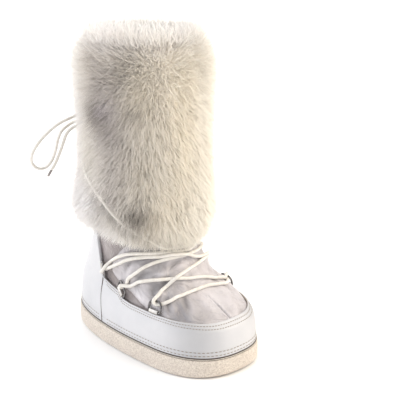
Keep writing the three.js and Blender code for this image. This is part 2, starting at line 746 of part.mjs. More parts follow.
// The bed that the two runs press into the fur
function laceBed() {
  return join(RUNS.map(({ side, over }) => {
    const path = [...overVamp(over), ...roundShaft(side)];
    const [before, end] = path.slice(-2);
    path.push(end.clone().add(end.clone().sub(before).setLength(LACE_BED)));
    return toSolid(sweep(path, LACE + 2 * LACE_BED));
  }));
}

function mirrored(points, side) {
  return points.map(([x, y, z]) => new THREE.Vector3(side * x, y, z));
}

function knot() {
  const ball = new THREE.SphereGeometry(KNOT_WIDTH / 2, 10, 6);
  ball.scale(1, 0.62, 0.8);
  return ball.translate(...KNOT);
}

const group = new THREE.Group();

function addPiece(name, geometry, colour, roughness, metalness = 0) {
  const flat = geometry.index ? geometry.toNonIndexed() : geometry;
  flat.computeVertexNormals();
  const material = new THREE.MeshStandardMaterial({ color: colour, roughness, metalness });
  const mesh = new THREE.Mesh(flat, material);
  mesh.name = name;
  group.add(mesh);
  return mesh;
}

addPiece('outsole', outsole(), 0xd9cdbf, 0.9);
addPiece('midsole', plate(SOLE_HEIGHT + GAP, MIDSOLE_THICKNESS, MIDSOLE_MARGIN), 0xe6dccb, 0.7);
addPiece('insole', insole(), 0xe9e2d2, 0.95);
addPiece('upper', wall(HEIGHTS, -WALL, 0), 0xd9d4dc, 0.45);
addPiece('rand', rand(), 0xe9e8ee, 0.4);
addPiece('counter', counter(), 0xe9e8ee, 0.4);
addPiece('fur_sleeve', furSleeve(), 0xe9dfcb, 1);
for (const [sideName, side] of Object.entries(SIDES)) {
  for (const [ringName, row] of Object.entries(RINGS)) {
    const held = addPiece(`ring_${sideName}_${ringName}`, ring(), 0x77767a, 0.25, 1);
    held.applyMatrix4(ringFrame(row, side, row.tilt));
    const holder = addPiece(`clip_${sideName}_${ringName}`, clip(), 0xc9c8c6, 0.3, 1);
    holder.applyMatrix4(ringFrame(row, side, 0));
  }
}
addPiece('lace_crossings', laceCrossings(), 0xe4dfd2, 0.6);
addPiece('lace_knot', knot(), 0xe4dfd2, 0.6);
for (const [sideName, side] of Object.entries(SIDES)) {
  addPiece(`lace_loop_${sideName}`, cord(mirrored(LOOP, side), LACE, CORD_SIDES), 0xe4dfd2, 0.6);
  addPiece(`lace_end_${sideName}`, cord(mirrored(END, side), LACE, CORD_SIDES), 0xe4dfd2, 0.6);
  const [start, tip] = mirrored([END[END.length - 1], END_TIP], side);
  const aim = tip.clone().sub(start).normalize();
  const foot = start.addScaledVector(aim, GAP);
  const path = new THREE.LineCurve3(foot, foot.clone().addScaledVector(aim, AGLET_LENGTH));
  const shape = new THREE.Shape(roundSection(AGLET, CORD_SIDES));
  const aglet = new THREE.ExtrudeGeometry(shape, { steps: 1, extrudePath: path });
  addPiece(`aglet_${sideName}`, aglet, 0x6d6a68, 0.3, 1);
}

export default group;
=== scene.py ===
import bpy
import json
import math
import numpy as np
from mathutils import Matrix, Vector

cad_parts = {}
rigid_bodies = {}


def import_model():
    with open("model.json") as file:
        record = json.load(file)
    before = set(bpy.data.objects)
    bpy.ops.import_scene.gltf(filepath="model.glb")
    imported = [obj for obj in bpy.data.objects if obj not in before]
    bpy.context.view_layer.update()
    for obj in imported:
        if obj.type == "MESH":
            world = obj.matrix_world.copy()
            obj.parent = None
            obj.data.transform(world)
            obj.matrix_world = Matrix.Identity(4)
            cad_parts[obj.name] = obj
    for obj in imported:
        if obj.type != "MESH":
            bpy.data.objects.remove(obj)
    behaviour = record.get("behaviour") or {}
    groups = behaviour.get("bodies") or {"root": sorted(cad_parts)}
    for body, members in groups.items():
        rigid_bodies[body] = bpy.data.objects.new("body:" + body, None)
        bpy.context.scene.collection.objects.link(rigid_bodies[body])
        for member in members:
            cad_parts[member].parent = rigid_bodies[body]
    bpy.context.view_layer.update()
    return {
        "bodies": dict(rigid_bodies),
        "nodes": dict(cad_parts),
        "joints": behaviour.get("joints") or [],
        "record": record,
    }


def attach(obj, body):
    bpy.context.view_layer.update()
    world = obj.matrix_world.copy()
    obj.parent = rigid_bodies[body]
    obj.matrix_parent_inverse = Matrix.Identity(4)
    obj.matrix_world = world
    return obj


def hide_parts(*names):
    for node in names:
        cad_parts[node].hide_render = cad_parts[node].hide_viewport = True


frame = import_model()

MM = 0.001
TAU = 2 * math.pi
rng = np.random.default_rng(11)

# Sizes, in millimetres, as in the solids
LENGTH, BALL_WIDTH, INSTEP_RISE = 280, 139, 114
SHAFT_DIAMETER, SHAFT_RISE, SHAFT_SETBACK = 118, 240, 26
SOLE_HEIGHT, MIDSOLE, INSOLE, WALL, OVERLAY, GAP = 23.5, 2.4, 5, 2.6, 2.6, 0.3
SOLE_MARGIN, MIDSOLE_MARGIN, TREAD_RIM, RIM_RISE = 4.2, 3.6, 9, 0.5
TOE_SPRING, TOE_SPRING_LENGTH = 2.5, 46
LUG_PITCH, LUG_WIDTH, LUG_ROOT, GROOVE_DEPTH = 17, 11, 1.2, 3
ARCH_LENGTH, ARCH_CENTRE = 50, 28
RAND_TOE_HEIGHT, RAND_SIDE_HEIGHT, SEAM_HEIGHT = 64, 69, 84
SEAM_PLACE, SEAM_LEAN, SEAM_GAP = 45, 5, 0.6
COUNTER_HEIGHT, COUNTER_LEAN = 150, 16
FUR_DEPTH, FUR_ABOVE, HEM_FRONT, HEM_BACK = 20, 10, 138, 164
WIRE, RING_WIDTH, RING_REACH, RING_BAR_CORNER, RING_TOP_CORNER = 2.6, 22, 15.5, 2.2, 6
CLIP_LENGTH, CLIP_SIZE, CLIP_STANDOFF = 14, 4.6, 0.6
LACE, LACE_SEEN = 4, 4.5
AGLET, AGLET_LENGTH = 3.4, 9
# How far the fur's inside stands off the last
FUR_INSIDE = 0.6

FEATHER = SOLE_HEIGHT + GAP + MIDSOLE + GAP
INSTEP_TOP = FEATHER + INSTEP_RISE
SHAFT_TOP = INSTEP_TOP + SHAFT_RISE

# Sections of the foot: up, heel, toe, widest, half width, heel curve, toe curve
FOOT = [
    (0.00, 0.484, -0.489, -0.178, 0.473, 2.22, 2.45),
    (0.26, 0.476, -0.474, -0.166, 0.464, 2.20, 2.47),
    (0.36, 0.467, -0.425, -0.155, 0.448, 2.20, 2.60),
    (0.42, 0.460, -0.380, -0.140, 0.434, 2.15, 2.70),
    (0.47, 0.453, -0.330, -0.112, 0.420, 2.10, 2.70),
    (0.52, 0.445, -0.280, -0.064, 0.409, 2.05, 2.55),
    (0.60, 0.432, -0.238, -0.010, 0.402, 2.00, 2.35),
    (0.71, 0.411, -0.202, 0.028, 0.399, 2.00, 2.20),
    (0.84, 0.380, -0.166, 0.057, 0.400, 2.00, 2.10),
    (1.00, 0.345, -0.138, 0.079, 0.405, 2.00, 2.00),
]
# Sections of the shaft: up, share of its diameter
SHAFT = [(0.12, 0.500), (0.40, 0.505), (1.00, 0.515)]
# Top edge of the rand: place, share of the rise to its side height, share of the rise on to the seam
RAND_EDGE = [(-0.500, 0, 0), (-0.430, 0.1, 0), (-0.360, 0.5, 0), (-0.260, 0.9, 0), (-0.040, 1, 0),
             (0.012, 1, 0.12), (0.050, 1, 0.55), (0.115, 1, 0.74)]
# The fur: up, share of its depth
FUR_SECTIONS = [(0.00, 0.42), (0.05, 0.78), (0.13, 1.14), (0.25, 1.10), (0.42, 0.90), (0.62, 0.93),
                (0.80, 1.02), (0.92, 0.88), (1.00, 0.30)]
# Rings: place and lift over the rand, or share of the seam's height and distance ahead of the counter;
# then lean and tilt
RINGS = {
    "front": (-0.200, 3.0, None, None, 0, 3),
    "middle": (0.030, 3.9, None, None, 42, 20),
    "top": (None, None, 1.140, 3.6, 78, 20),
}


# Small helpers
def unit(v):
    return v / np.maximum(np.linalg.norm(v, axis=-1, keepdims=True), 1e-12)


def hump(value, centre, width):
    """1 at the centre, falling off smoothly on both sides."""
    return np.exp(-((value - centre) / width) ** 2)


def smoothstep(low, high, value):
    t = np.clip((value - low) / (high - low), 0, 1)
    return t * t * (3 - 2 * t)


def signed_degrees(turn):
    return (np.degrees(turn) + 180) % 360 - 180


def angles(count):
    return np.arange(count) / count * TAU


def all_round(count):
    return np.linspace(-math.pi, math.pi, count, endpoint=False)


# The last, the form that the boot is built on. turn is 0 at the toe and grows to the near side
def last_rows():
    rows = []
    for up, heel, toe, widest, half, *curves in FOOT:
        rows.append((FEATHER + up * INSTEP_RISE, heel * LENGTH, toe * LENGTH, widest * LENGTH,
                     half * BALL_WIDTH, *curves))
    for up, share in SHAFT:
        reach = share * SHAFT_DIAMETER
        rows.append((INSTEP_TOP + up * SHAFT_RISE, SHAFT_SETBACK + reach, SHAFT_SETBACK - reach,
                     SHAFT_SETBACK, reach, 2, 2))
    return np.array(rows)


ROWS = last_rows()
HEEL, TOE, WIDEST, HALF, HEEL_CURVE, TOE_CURVE = range(1, 7)


def tangents(k):
    slope = np.diff(ROWS[:, k]) / np.diff(ROWS[:, 0])
    before = np.concatenate([slope[:1], slope])
    after = np.concatenate([slope, slope[-1:]])
    product = before * after
    return np.where(product > 0, 2 * product / np.where(product > 0, before + after, 1), 0)


TANGENTS = {k: tangents(k) for k in range(1, 7)}


def column(k, height):
    """A value of the sections at a height, along a smooth curve through them."""
    height = np.asarray(height, float)
    x, y, m = ROWS[:, 0], ROWS[:, k], TANGENTS[k]
    i = np.clip(np.searchsorted(x, height, side="left") - 1, 0, len(x) - 2)
    rise = x[i + 1] - x[i]
    t = np.clip((height - x[i]) / rise, 0, 1)
    change = y[i + 1] - y[i]
    leave, arrive = m[i] * rise, m[i + 1] * rise
    square, cube = 3 * change - 2 * leave - arrive, leave + arrive - 2 * change
    return y[i] + t * leave + t * t * square + t ** 3 * cube


def skin(turn, height):
    """Points of the last's surface."""
    turn, height = np.broadcast_arrays(np.asarray(turn, float), np.asarray(height, float))
    forward, aside = np.cos(turn), np.sin(turn)
    power = 2 / np.where(forward > 0, column(TOE_CURVE, height), column(HEEL_CURVE, height))
    widest = column(WIDEST, height)
    reach = np.where(forward > 0, column(TOE, height), column(HEEL, height)) - widest
    return np.stack([-np.sign(aside) * np.abs(aside) ** power * column(HALF, height),
                     widest + np.abs(forward) ** power * reach, height + 0 * turn], -1)


def skin_normal(turn, height, step=0.01):
    along = skin(turn + step, height) - skin(turn - step, height)
    up = skin(turn, np.asarray(height) + step) - skin(turn, np.maximum(np.asarray(height) - step, FEATHER))
    return unit(np.cross(up, along))


def last(turn, height, offset):
    """Points at an offset out from the last."""
    return skin(turn, height) + skin_normal(turn, height) * np.asarray(offset, float)[..., None]


def outline(turn, margin, height):
    """Points round the sole, at a margin out from the feather line."""
    turn = np.asarray(turn)
    edge = skin(turn, FEATHER + 0 * turn)
    away = skin_normal(turn, FEATHER + 0 * turn)
    away[..., 2] = 0
    point = edge + unit(away) * np.asarray(margin, float)[..., None]
    point[..., 2] = height
    return point


def turn_at(place, height, side):
    """The turn at which the last has a place along the boot."""
    widest = column(WIDEST, height)
    forward = place < widest
    reach = np.where(forward, column(TOE, height), column(HEEL, height)) - widest
    power = 2 / np.where(forward, column(TOE_CURVE, height), column(HEEL_CURVE, height))
    share = np.clip((place - widest) / reach, 0, 1) ** (1 / power)
    return side * np.where(forward, np.arccos(share), math.pi - np.arccos(share))


def seam_at(height):
    """Place of the seam between rand and counter."""
    return SEAM_PLACE + SEAM_LEAN * (height - FEATHER) / (SEAM_HEIGHT - FEATHER)


def counter_front(height):
    """Place of the counter's front edge, which leans back over the rand."""
    share = np.maximum(0, height - SEAM_HEIGHT) / (COUNTER_HEIGHT - SEAM_HEIGHT)
    return seam_at(np.minimum(height, SEAM_HEIGHT)) + share * COUNTER_LEAN + SEAM_GAP / 2


def rand_top(place):
    """Height of the rand's top edge."""
    side_rise, seam_rise = RAND_SIDE_HEIGHT - RAND_TOE_HEIGHT, SEAM_HEIGHT - RAND_SIDE_HEIGHT
    places = [at * LENGTH for at, _, _ in RAND_EDGE]
    heights = [RAND_TOE_HEIGHT + to_side * side_rise + to_seam * seam_rise
               for _, to_side, to_seam in RAND_EDGE]
    return np.interp(place, places + [SEAM_PLACE + SEAM_LEAN], heights + [SEAM_HEIGHT])


def shaft_hem(turn):
    """Height of the fur's hem round the shaft."""
    place = SHAFT_SETBACK - np.cos(turn) * SHAFT_DIAMETER / 2
    share = (place - SHAFT_SETBACK) / SHAFT_DIAMETER + 0.5
    return HEM_FRONT + (HEM_BACK - HEM_FRONT) * share


def fur_depth(up):
    return np.interp(up, [row[0] for row in FUR_SECTIONS], [row[1] for row in FUR_SECTIONS])


def fur_skin(turn, up, depth):
    """Points in the fur: share of the way up it, and share of its depth."""
    hem = shaft_hem(turn)
    height = hem + up * (SHAFT_TOP + FUR_ABOVE - hem)
    point = last(turn, np.minimum(height, SHAFT_TOP), FUR_INSIDE + np.asarray(depth) * FUR_DEPTH)
    point[..., 2] = height
    return point


# Meshes
def mesh_object(name, points, faces, material, smooth=True, face_material=None):
    """faces is a list of arrays of corners, each array with one number of corners. points in millimetres."""
    points = np.asarray(points, float).reshape(-1, 3) * MM
    mesh = bpy.data.meshes.new(name)
    counts = np.concatenate([np.full(len(f), f.shape[1]) for f in faces])
    loops = np.concatenate([f.ravel() for f in faces])
    mesh.vertices.add(len(points))
    mesh.vertices.foreach_set("co", points.astype(np.float32).ravel())
    mesh.loops.add(len(loops))
    mesh.loops.foreach_set("vertex_index", loops.astype(np.int32))
    mesh.polygons.add(len(counts))
    starts = np.concatenate([[0], np.cumsum(counts)[:-1]])
    mesh.polygons.foreach_set("loop_start", starts.astype(np.int32))
    mesh.update(calc_edges=True)
    mesh.validate()
    mesh.polygons.foreach_set("use_smooth", np.full(len(mesh.polygons), smooth))
    for one in material if isinstance(material, (list, tuple)) else [material]:
        mesh.materials.append(one)
    if face_material is not None:
        mesh.polygons.foreach_set("material_index", np.asarray(face_material, np.int32))
    piece = bpy.data.objects.new(name, mesh)
    bpy.context.scene.collection.objects.link(piece)
    return piece


def paint(piece, tone):
    """Gives each point of a piece its own tone."""
    layer = piece.data.color_attributes.new("tone", "FLOAT_COLOR", "POINT")
    colour = np.concatenate([tone, np.ones((len(tone), 1))], 1)
    layer.data.foreach_set("color", colour.astype(np.float32).ravel())


def grey(tone):
    """One number for each point, as a colour."""
    return np.repeat(np.reshape(tone, (-1, 1)), 3, axis=1)


def sheet_faces(rows, cols, close_rows=False, close_cols=False):
    """Four-cornered faces between neighbouring points of a grid."""
    r = np.arange(rows if close_rows else rows - 1)
    c = np.arange(cols if close_cols else cols - 1)
    R, C = np.meshgrid(r, c, indexing="ij")
    up, on = (R + 1) % rows, (C + 1) % cols
    return np.stack([R * cols + C, up * cols + C, up * cols + on, R * cols + on], -1).reshape(-1, 4)


def closed_loft(name, rings, material, **more):
    """Rings of points, closed round, joined one to the next and the last to the first."""
    rings = np.asarray(rings)
    return mesh_object(name, rings, [sheet_faces(*rings.shape[:2], True, True)], material, **more)


def capped(rings):
    """Points and faces of a tube of rings with a fan over each end."""
    rings = np.asarray(rings)
    rows, cols = rings.shape[:2]
    points = np.concatenate([rings.reshape(-1, 3), rings[0].mean(0)[None], rings[-1].mean(0)[None]])
    i = np.arange(cols)
    on = (i + 1) % cols
    low, high = rows * cols, rows * cols + 1
    first = np.stack([np.full(cols, low), i, on], -1)
    final = np.stack([np.full(cols, high), (rows - 1) * cols + on, (rows - 1) * cols + i], -1)
    return points, [sheet_faces(rows, cols, False, True), np.concatenate([first, final])]


def merge(parts):
    """Several (points, faces) as one."""
    points, quads, tris, start = [], [], [], 0
    for p, faces in parts:
        points.append(np.asarray(p).reshape(-1, 3))
        for f in faces:
            (quads if f.shape[1] == 4 else tris).append(f + start)
        start += len(points[-1])
    return np.concatenate(points), [np.concatenate(g) for g in (quads, tris) if g]


def way_along(points):
    """How far along a line each of its points is."""
    return np.concatenate([[0], np.cumsum(np.linalg.norm(np.diff(points, axis=0), axis=1))])


def at_marks(marks, way, values):
    """Values of a line's points, at marks along its way."""
    return np.stack([np.interp(marks, way, values[:, k]) for k in range(3)], -1)


def even(line, spacing):
    way = way_along(line)
    return at_marks(np.linspace(0, way[-1], max(4, int(round(way[-1] / spacing)) + 1)), way, line)


# Points of a smooth path between two that are given, before it is evened out
CURVE_STEPS = 16


def smooth_path(points, spacing):
    """A centripetal curve through points, at even spacing."""
    p = np.asarray(points, float)
    q = np.concatenate([[2 * p[0] - p[1]], p, [2 * p[-1] - p[-2]]])
    dense = []
    for i in range(1, len(q) - 2):
        a, b, c, d = q[i - 1:i + 3]
        t0 = 0
        t1 = t0 + max(np.linalg.norm(b - a), 1e-6) ** 0.5
        t2 = t1 + max(np.linalg.norm(c - b), 1e-6) ** 0.5
        t3 = t2 + max(np.linalg.norm(d - c), 1e-6) ** 0.5
        t = np.linspace(t1, t2, CURVE_STEPS, endpoint=False)[:, None]
        ab = (t1 - t) / (t1 - t0) * a + (t - t0) / (t1 - t0) * b
        bc = (t2 - t) / (t2 - t1) * b + (t - t1) / (t2 - t1) * c
        cd = (t3 - t) / (t3 - t2) * c + (t - t2) / (t3 - t2) * d
        abc = (t2 - t) / (t2 - t0) * ab + (t - t0) / (t2 - t0) * bc
        bcd = (t3 - t) / (t3 - t1) * bc + (t - t1) / (t3 - t1) * cd
        dense.append((t2 - t) / (t2 - t1) * abc + (t - t1) / (t2 - t1) * bcd)
    return even(np.concatenate(dense + [p[-1:]]), spacing)


def tube(path, radius, sides):
    """A round tube along a path, its frame carried along without twist. The radius may change on the way."""
    path = np.asarray(path)
    radius = np.broadcast_to(radius, len(path))
    forward = unit(np.gradient(path, axis=0))
    across = np.cross(forward[0], [0.3, 0.2, 0.93])
    frames = []
    for f in forward:
        across = across - f * (across @ f)
        across = across / np.linalg.norm(across)
        frames.append((across, np.cross(across, f)))
    angle = angles(sides)[:, None]
    rings = [p + r * (np.cos(angle) * a + np.sin(angle) * u) for p, r, (a, u) in zip(path, radius, frames)]
    return capped(rings)


def ride(piece, slot, *nodes):
    """Every piece rides on the root body; nodes are the solids that it replaces."""
    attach(piece, "root")
    if nodes:
        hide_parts(*nodes)


# Materials
class Shader:
    """A small hand on a material's node tree."""

    def __init__(self, name, roughness=0.5, **fixed):
        self.material = bpy.data.materials.new(name)
        self.material.use_nodes = True
        self.tree = self.material.node_tree
        self.bsdf = self.tree.nodes["Principled BSDF"]
        self.bsdf.inputs["Roughness"].default_value = roughness
        for key, value in fixed.items():
            self.bsdf.inputs[key.replace("_", " ")].default_value = value
        self.place = self.node("ShaderNodeTexCoord").outputs["Object"]
        self.normal = None

    def node(self, kind, **settings):
        node = self.tree.nodes.new(kind)
        for key, value in settings.items():
            setattr(node, key, value)
        return node

    def link(self, source, target):
        self.tree.links.new(source, target)

    def pattern(self, kind, vector=None, **values):
        """A node that takes a place and values, such as a noise."""
        node = self.node(kind)
        self.link(vector or self.place, node.inputs["Vector"])
        for key, value in values.items():
            node.inputs[key].default_value = value
        return node.outputs

    def noise(self, scale, detail=3, rough=0.55, vector=None, distortion=0.0):
        return self.pattern("ShaderNodeTexNoise", vector, Scale=scale, Detail=detail, Roughness=rough,
                            Distortion=distortion)["Fac"]

    def cells(self, scale):
        return self.pattern("ShaderNodeTexVoronoi", Scale=scale)["Distance"]

    def ramp(self, source, *stops):
        node = self.node("ShaderNodeValToRGB")
        ramp = node.color_ramp
        while len(ramp.elements) < len(stops):
            ramp.elements.new(0.5)
        for element, (place, colour) in zip(ramp.elements, stops):
            element.position = place
            element.color = (*colour, 1) if hasattr(colour, "__len__") else (colour, colour, colour, 1)
        self.link(source, node.inputs["Fac"])
        return node.outputs["Color"]

    def between(self, source, dark, light, low=0.3, high=0.7):
        """From dark to light as the source rises."""
        return self.ramp(source, (low, dark), (high, light))

    def mix(self, factor, a, b, blend="MIX"):
        node = self.node("ShaderNodeMix", data_type="RGBA", blend_type=blend)
        if isinstance(factor, (int, float)):
            node.inputs["Factor"].default_value = factor
        else:
            self.link(factor, node.inputs["Factor"])
        for value, socket in ((a, node.inputs[6]), (b, node.inputs[7])):
            if hasattr(value, "__len__"):
                socket.default_value = (*value, 1)
            else:
                self.link(value, socket)
        return node.outputs[2]

    def toned(self, source):
        """The source, times the tone painted on the points."""
        tone = self.node("ShaderNodeAttribute", attribute_name="tone").outputs["Color"]
        return self.mix(1.0, tone, source, "MULTIPLY")

    def colour(self, source):
        self.link(source, self.bsdf.inputs["Base Color"])
        return self

    def rough(self, source, low, high):
        self.link(self.between(source, low, high), self.bsdf.inputs["Roughness"])
        return self

    def bump(self, source, distance, strength=1.0):
        node = self.node("ShaderNodeBump")
        node.inputs["Strength"].default_value = strength
        node.inputs["Distance"].default_value = distance * MM
        self.link(source, node.inputs["Height"])
        if self.normal is not None:
            self.link(self.normal, node.inputs["Normal"])
        self.normal = node.outputs["Normal"]
        self.link(self.normal, self.bsdf.inputs["Normal"])
        return self


def leather_material(name, light, dark, toned=False):
    """Smooth leather with fine pores."""
    s = Shader(name, 0.42, Coat_Weight=0.12, Coat_Roughness=0.3, Specular_IOR_Level=0.45)
    specks = s.between(s.noise(1500, 2), 0.0, 0.35, 0.35, 0.75)
    mottled = s.mix(specks, s.between(s.noise(26, 4), dark, light), dark)
    s.colour(s.toned(mottled) if toned else mottled)
    s.rough(s.noise(220, 4), 0.36, 0.52)
    s.bump(s.cells(1150), 0.05, 0.6).bump(s.noise(120, 4), 0.10, 0.4)
    return s.material


def crepe_material():
    """Crepe rubber: pale and dark crumbs, over a slow change of tone."""
    s = Shader("crepe", 0.92, Specular_IOR_Level=0.25)
    crumbs = s.ramp(s.noise(520, 5, 0.8), (0.38, (0.44, 0.37, 0.315)), (0.5, (0.68, 0.605, 0.53)),
                    (0.62, (0.86, 0.79, 0.70)))
    slow = s.between(s.noise(40, 3), (0.63, 0.565, 0.50), (0.74, 0.665, 0.58))
    s.colour(s.mix(0.35, crumbs, slow))
    grain = s.between(s.cells(430), 0.0, 1.0, 0.15, 0.75)
    s.bump(s.noise(430, 5, 0.75), 0.9, 0.9).bump(grain, 0.3, 0.5)
    return s.material


def satin_material(name, light, dark):
    """Satin with a fine weave and soft creases."""
    s = Shader(name, 0.38, Sheen_Weight=0.35, Sheen_Roughness=0.35, Coat_Weight=0.10, Coat_Roughness=0.35,
               Specular_IOR_Level=0.55)
    s.colour(s.toned(s.between(s.noise(34, 5, 0.6, distortion=0.6), dark, light, 0.32, 0.68)))
    s.rough(s.noise(90, 4), 0.32, 0.48)
    weave = s.noise(1, 1, vector=s.pattern("ShaderNodeMapping", Scale=(1600, 1600, 2600))["Vector"])
    creases = s.ramp(s.noise(38, 3, 0.5, distortion=1.2), (0.40, 1.0), (0.5, 0.0), (0.60, 1.0))
    s.bump(s.noise(60, 4, 0.55, distortion=0.8), 2.2, 0.7).bump(creases, 0.9, 0.8).bump(weave, 0.05, 0.5)
    return s.material


def plush_material(name, light, dark):
    """A matt, deep nap."""
    s = Shader(name, 0.95, Sheen_Weight=0.5, Specular_IOR_Level=0.2)
    s.colour(s.between(s.noise(240, 6, 0.7), dark, light))
    s.bump(s.noise(420, 5, 0.75), 1.2, 0.9)
    return s.material


def cord_material():
    s = Shader("lace_leather", 0.5, Specular_IOR_Level=0.45, Coat_Weight=0.08)
    s.colour(s.between(s.noise(160, 5, 0.65), (0.72, 0.68, 0.62), (0.86, 0.835, 0.79)))
    s.bump(s.noise(520, 4, 0.6), 0.18, 0.7)
    return s.material


def metal_material(name, light, dark, roughness):
    s = Shader(name, roughness, Metallic=1.0)
    s.colour(s.between(s.noise(300, 5, 0.7), dark, light, 0.35, 0.65))
    s.rough(s.noise(900, 3), roughness * 0.75, roughness * 1.4)
    s.bump(s.noise(1400, 3), 0.02, 0.5)
    return s.material


def fur_material(name):
    """Fur: the tone is painted hair by hair."""
    s = Shader(name, 0.8, Sheen_Weight=0.25, Sheen_Roughness=0.5, Specular_IOR_Level=0.2)
    s.colour(s.toned(s.between(s.noise(900, 3, 0.6), 0.93, 1.0)))
    s.rough(s.noise(300, 2), 0.68, 0.9)
    return s.material


LEATHER = leather_material("leather", (0.69, 0.685, 0.70), (0.61, 0.61, 0.63), True)
WELT = leather_material("welt_edge", (0.86, 0.80, 0.71), (0.74, 0.67, 0.58))
# The stitches' tan is partly the thread's own colour and partly painted shade from the holes between stitches.
THREAD_AND_SHADE = plush_material("thread", (0.36, 0.295, 0.235), (0.23, 0.19, 0.15))
EDGE = leather_material("cut_edge", (0.42, 0.37, 0.33), (0.28, 0.24, 0.21))
# Near black, painted shade: the line in the seam between rand and counter, and the welt's two grooves.
SEAM_SHADE = plush_material("seam_shade", (0.16, 0.13, 0.11), (0.09, 0.075, 0.065))
CREPE = crepe_material()
SATIN = satin_material("satin", (0.63, 0.60, 0.62), (0.50, 0.465, 0.475))
# Painted shade: the gusset is a darker copy of the satin, for the shade in its recess behind the pad.
GUSSET_SHADE = satin_material("gusset", (0.38, 0.335, 0.33), (0.23, 0.195, 0.19))
LINING = plush_material("lining", (0.98, 0.95, 0.89), (0.86, 0.82, 0.75))
CORD = cord_material()
RING_METAL = metal_material("ring_metal", (0.27, 0.26, 0.26), (0.09, 0.085, 0.085), 0.22)
CLIP_METAL = metal_material("clip_metal", (0.62, 0.60, 0.57), (0.42, 0.40, 0.38), 0.34)
AGLET_METAL = metal_material("aglet_metal", (0.40, 0.37, 0.36), (0.24, 0.22, 0.21), 0.35)
FUR_HAIR = fur_material("fur_hair")
FUR_BACK = fur_material("fur_back")

# Camera: where it is, what it aims at, and its lens
CAMERA_AT, CAMERA_AIM = (-963.5, -1048.8, 659.7), (35.37, -34.84, 186.11)
SENSOR, FOCAL_LENGTH = 36, 108.495
scene = bpy.context.scene
camera = bpy.data.objects.new("camera", bpy.data.cameras.new("camera"))
scene.collection.objects.link(camera)
scene.camera = camera
camera.location = Vector(CAMERA_AT) * MM
aim = Vector(CAMERA_AIM) * MM - camera.location
camera.rotation_mode = "QUATERNION"
camera.rotation_quaternion = aim.to_track_quat("-Z", "Y")
camera.data.sensor_width = SENSOR
camera.data.lens = FOCAL_LENGTH
camera.data.clip_start, camera.data.clip_end = 0.05, 30

# The bow behind the shaft. The lists are middle lines of the near side's cords, from the knot out
KNOT = (0, 109.5, 271)
LOOP = [
    (-6.6, 110.4, 274), (-21, 111.7, 279), (-37, 112, 281), (-51.5, 111.5, 279.2), (-64.4, 113, 275.7),
    (-78, 115, 268.7), (-92.5, 118, 257), (-103, 119.5, 244.7), (-106, 120, 234.8), (-102, 120, 226),
    (-93, 119.5, 220.5), (-83, 119, 221.4), (-75, 118, 229), (-69.5, 117, 241.6), (-66, 116.5, 254),
    (-61, 115.5, 263.5), (-52, 115, 269), (-38, 115.5, 272.5), (-22, 115, 272), (-7.4, 111.5, 270.3),
]
END = [
    (-6.5, 109, 266), (-20, 109.3, 267), (-34, 109, 268.5), (-47, 110, 267), (-55.5, 112, 260),
    (-60, 113, 250), (-64, 114.5, 239.5), (-70, 117, 225), (-75.5, 119.5, 215.5),
]
END_TIP = (-80.5, 122, 206.5)
SIDES = {"near": 1, "far": -1}
# Spacing of a cord's points, and the aglet's section: how far along it, share of its full radius
CORD_STEP = 2.0
AGLET_SECTION = [(0, 0.86), (0.6, 1), (1.2, 1), (2.2, 1), (2.6, 0.88), (3.0, 1), (6.0, 1), (8.2, 0.96),
                 (AGLET_LENGTH - 0.2, 0.8), (AGLET_LENGTH, 0.4)]


def free_cord(name, points, far_end, *more):
    """A stretch of the lace that hangs free."""
    path = smooth_path(points, CORD_STEP)
    piece = mesh_object(name + "_cord", *tube(path, LACE / 2, 12), CORD)
    ride(piece, "lace", name)


def bow_side(side_name, side):
    """A loop of the bow, and an end with its aglet."""
    mirror = np.array([side, 1, 1])
    free_cord("lace_loop_" + side_name, np.array(LOOP) * mirror, "object")
    start, tip = np.array(END[-1]) * mirror, np.array(END_TIP) * mirror
    marks, shares = np.array(AGLET_SECTION).T
    path = start + unit(tip - start) * (marks + GAP)[:, None]
    aglet = mesh_object("aglet_tip_" + side_name, *tube(path, shares * AGLET / 2, 14), AGLET_METAL)
    ride(aglet, "aglet_metal", "aglet_" + side_name)
    free_cord("lace_end_" + side_name, np.array(END) * mirror, "fitting", aglet)


for side_name, side in SIDES.items():
    bow_side(side_name, side)

KNOT_TURNS, KNOT_STEPS, KNOT_SIDES, KNOT_RADIUS, KNOT_SQUASH = 2, 40, 12, 1.75, (1, 0.72, 0.85)


def closed_tube(path, radius, sides):
    """Rings of a round tube along a closed path that lies near an upright plane."""
    forward = unit(np.roll(path, -1, 0) - np.roll(path, 1, 0))
    out = unit(np.cross(forward, [0, 1, 0]))
    up = np.cross(out, forward)
    angle = angles(sides)[None, :, None]
    return path[:, None] + radius * (np.cos(angle) * out[:, None] + np.sin(angle) * up[:, None])


def knot_piece():
    """Two turns of the lace drawn together."""
    parts = []
    for turn in range(KNOT_TURNS):
        s = np.linspace(0, TAU, KNOT_STEPS, endpoint=False)
        x = 3.6 * np.cos(s) + 0.4 * np.cos(3 * s)
        y = 0.9 * np.sin(2 * s + turn) - 1.4 + 2.8 * turn
        z = 3.1 * np.sin(s)
        c, d = math.cos(0.5 - turn), math.sin(0.5 - turn)
        path = np.stack([x * c - z * d, y, x * d + z * c], -1) * KNOT_SQUASH + KNOT
        rings = closed_tube(path, KNOT_RADIUS, KNOT_SIDES)
        parts.append((rings, [sheet_faces(KNOT_STEPS, KNOT_SIDES, True, True)]))
    return mesh_object("lace_knot_turns", *merge(parts), CORD)


ride(knot_piece(), "lace", "lace_knot")

# Rings and clips
RING_SIDES, CLIP_CORNER, CLIP_STOPS, BAR_CLEAR = 14, 1.1, 6, 0.3
# The clip's ends are drawn in a little: share of its length, share of its section
CLIP_ENDS = [(-0.5, 0.9), (-0.485, 0.97), (-0.46, 1), (0.46, 1), (0.485, 0.97), (0.5, 0.9)]


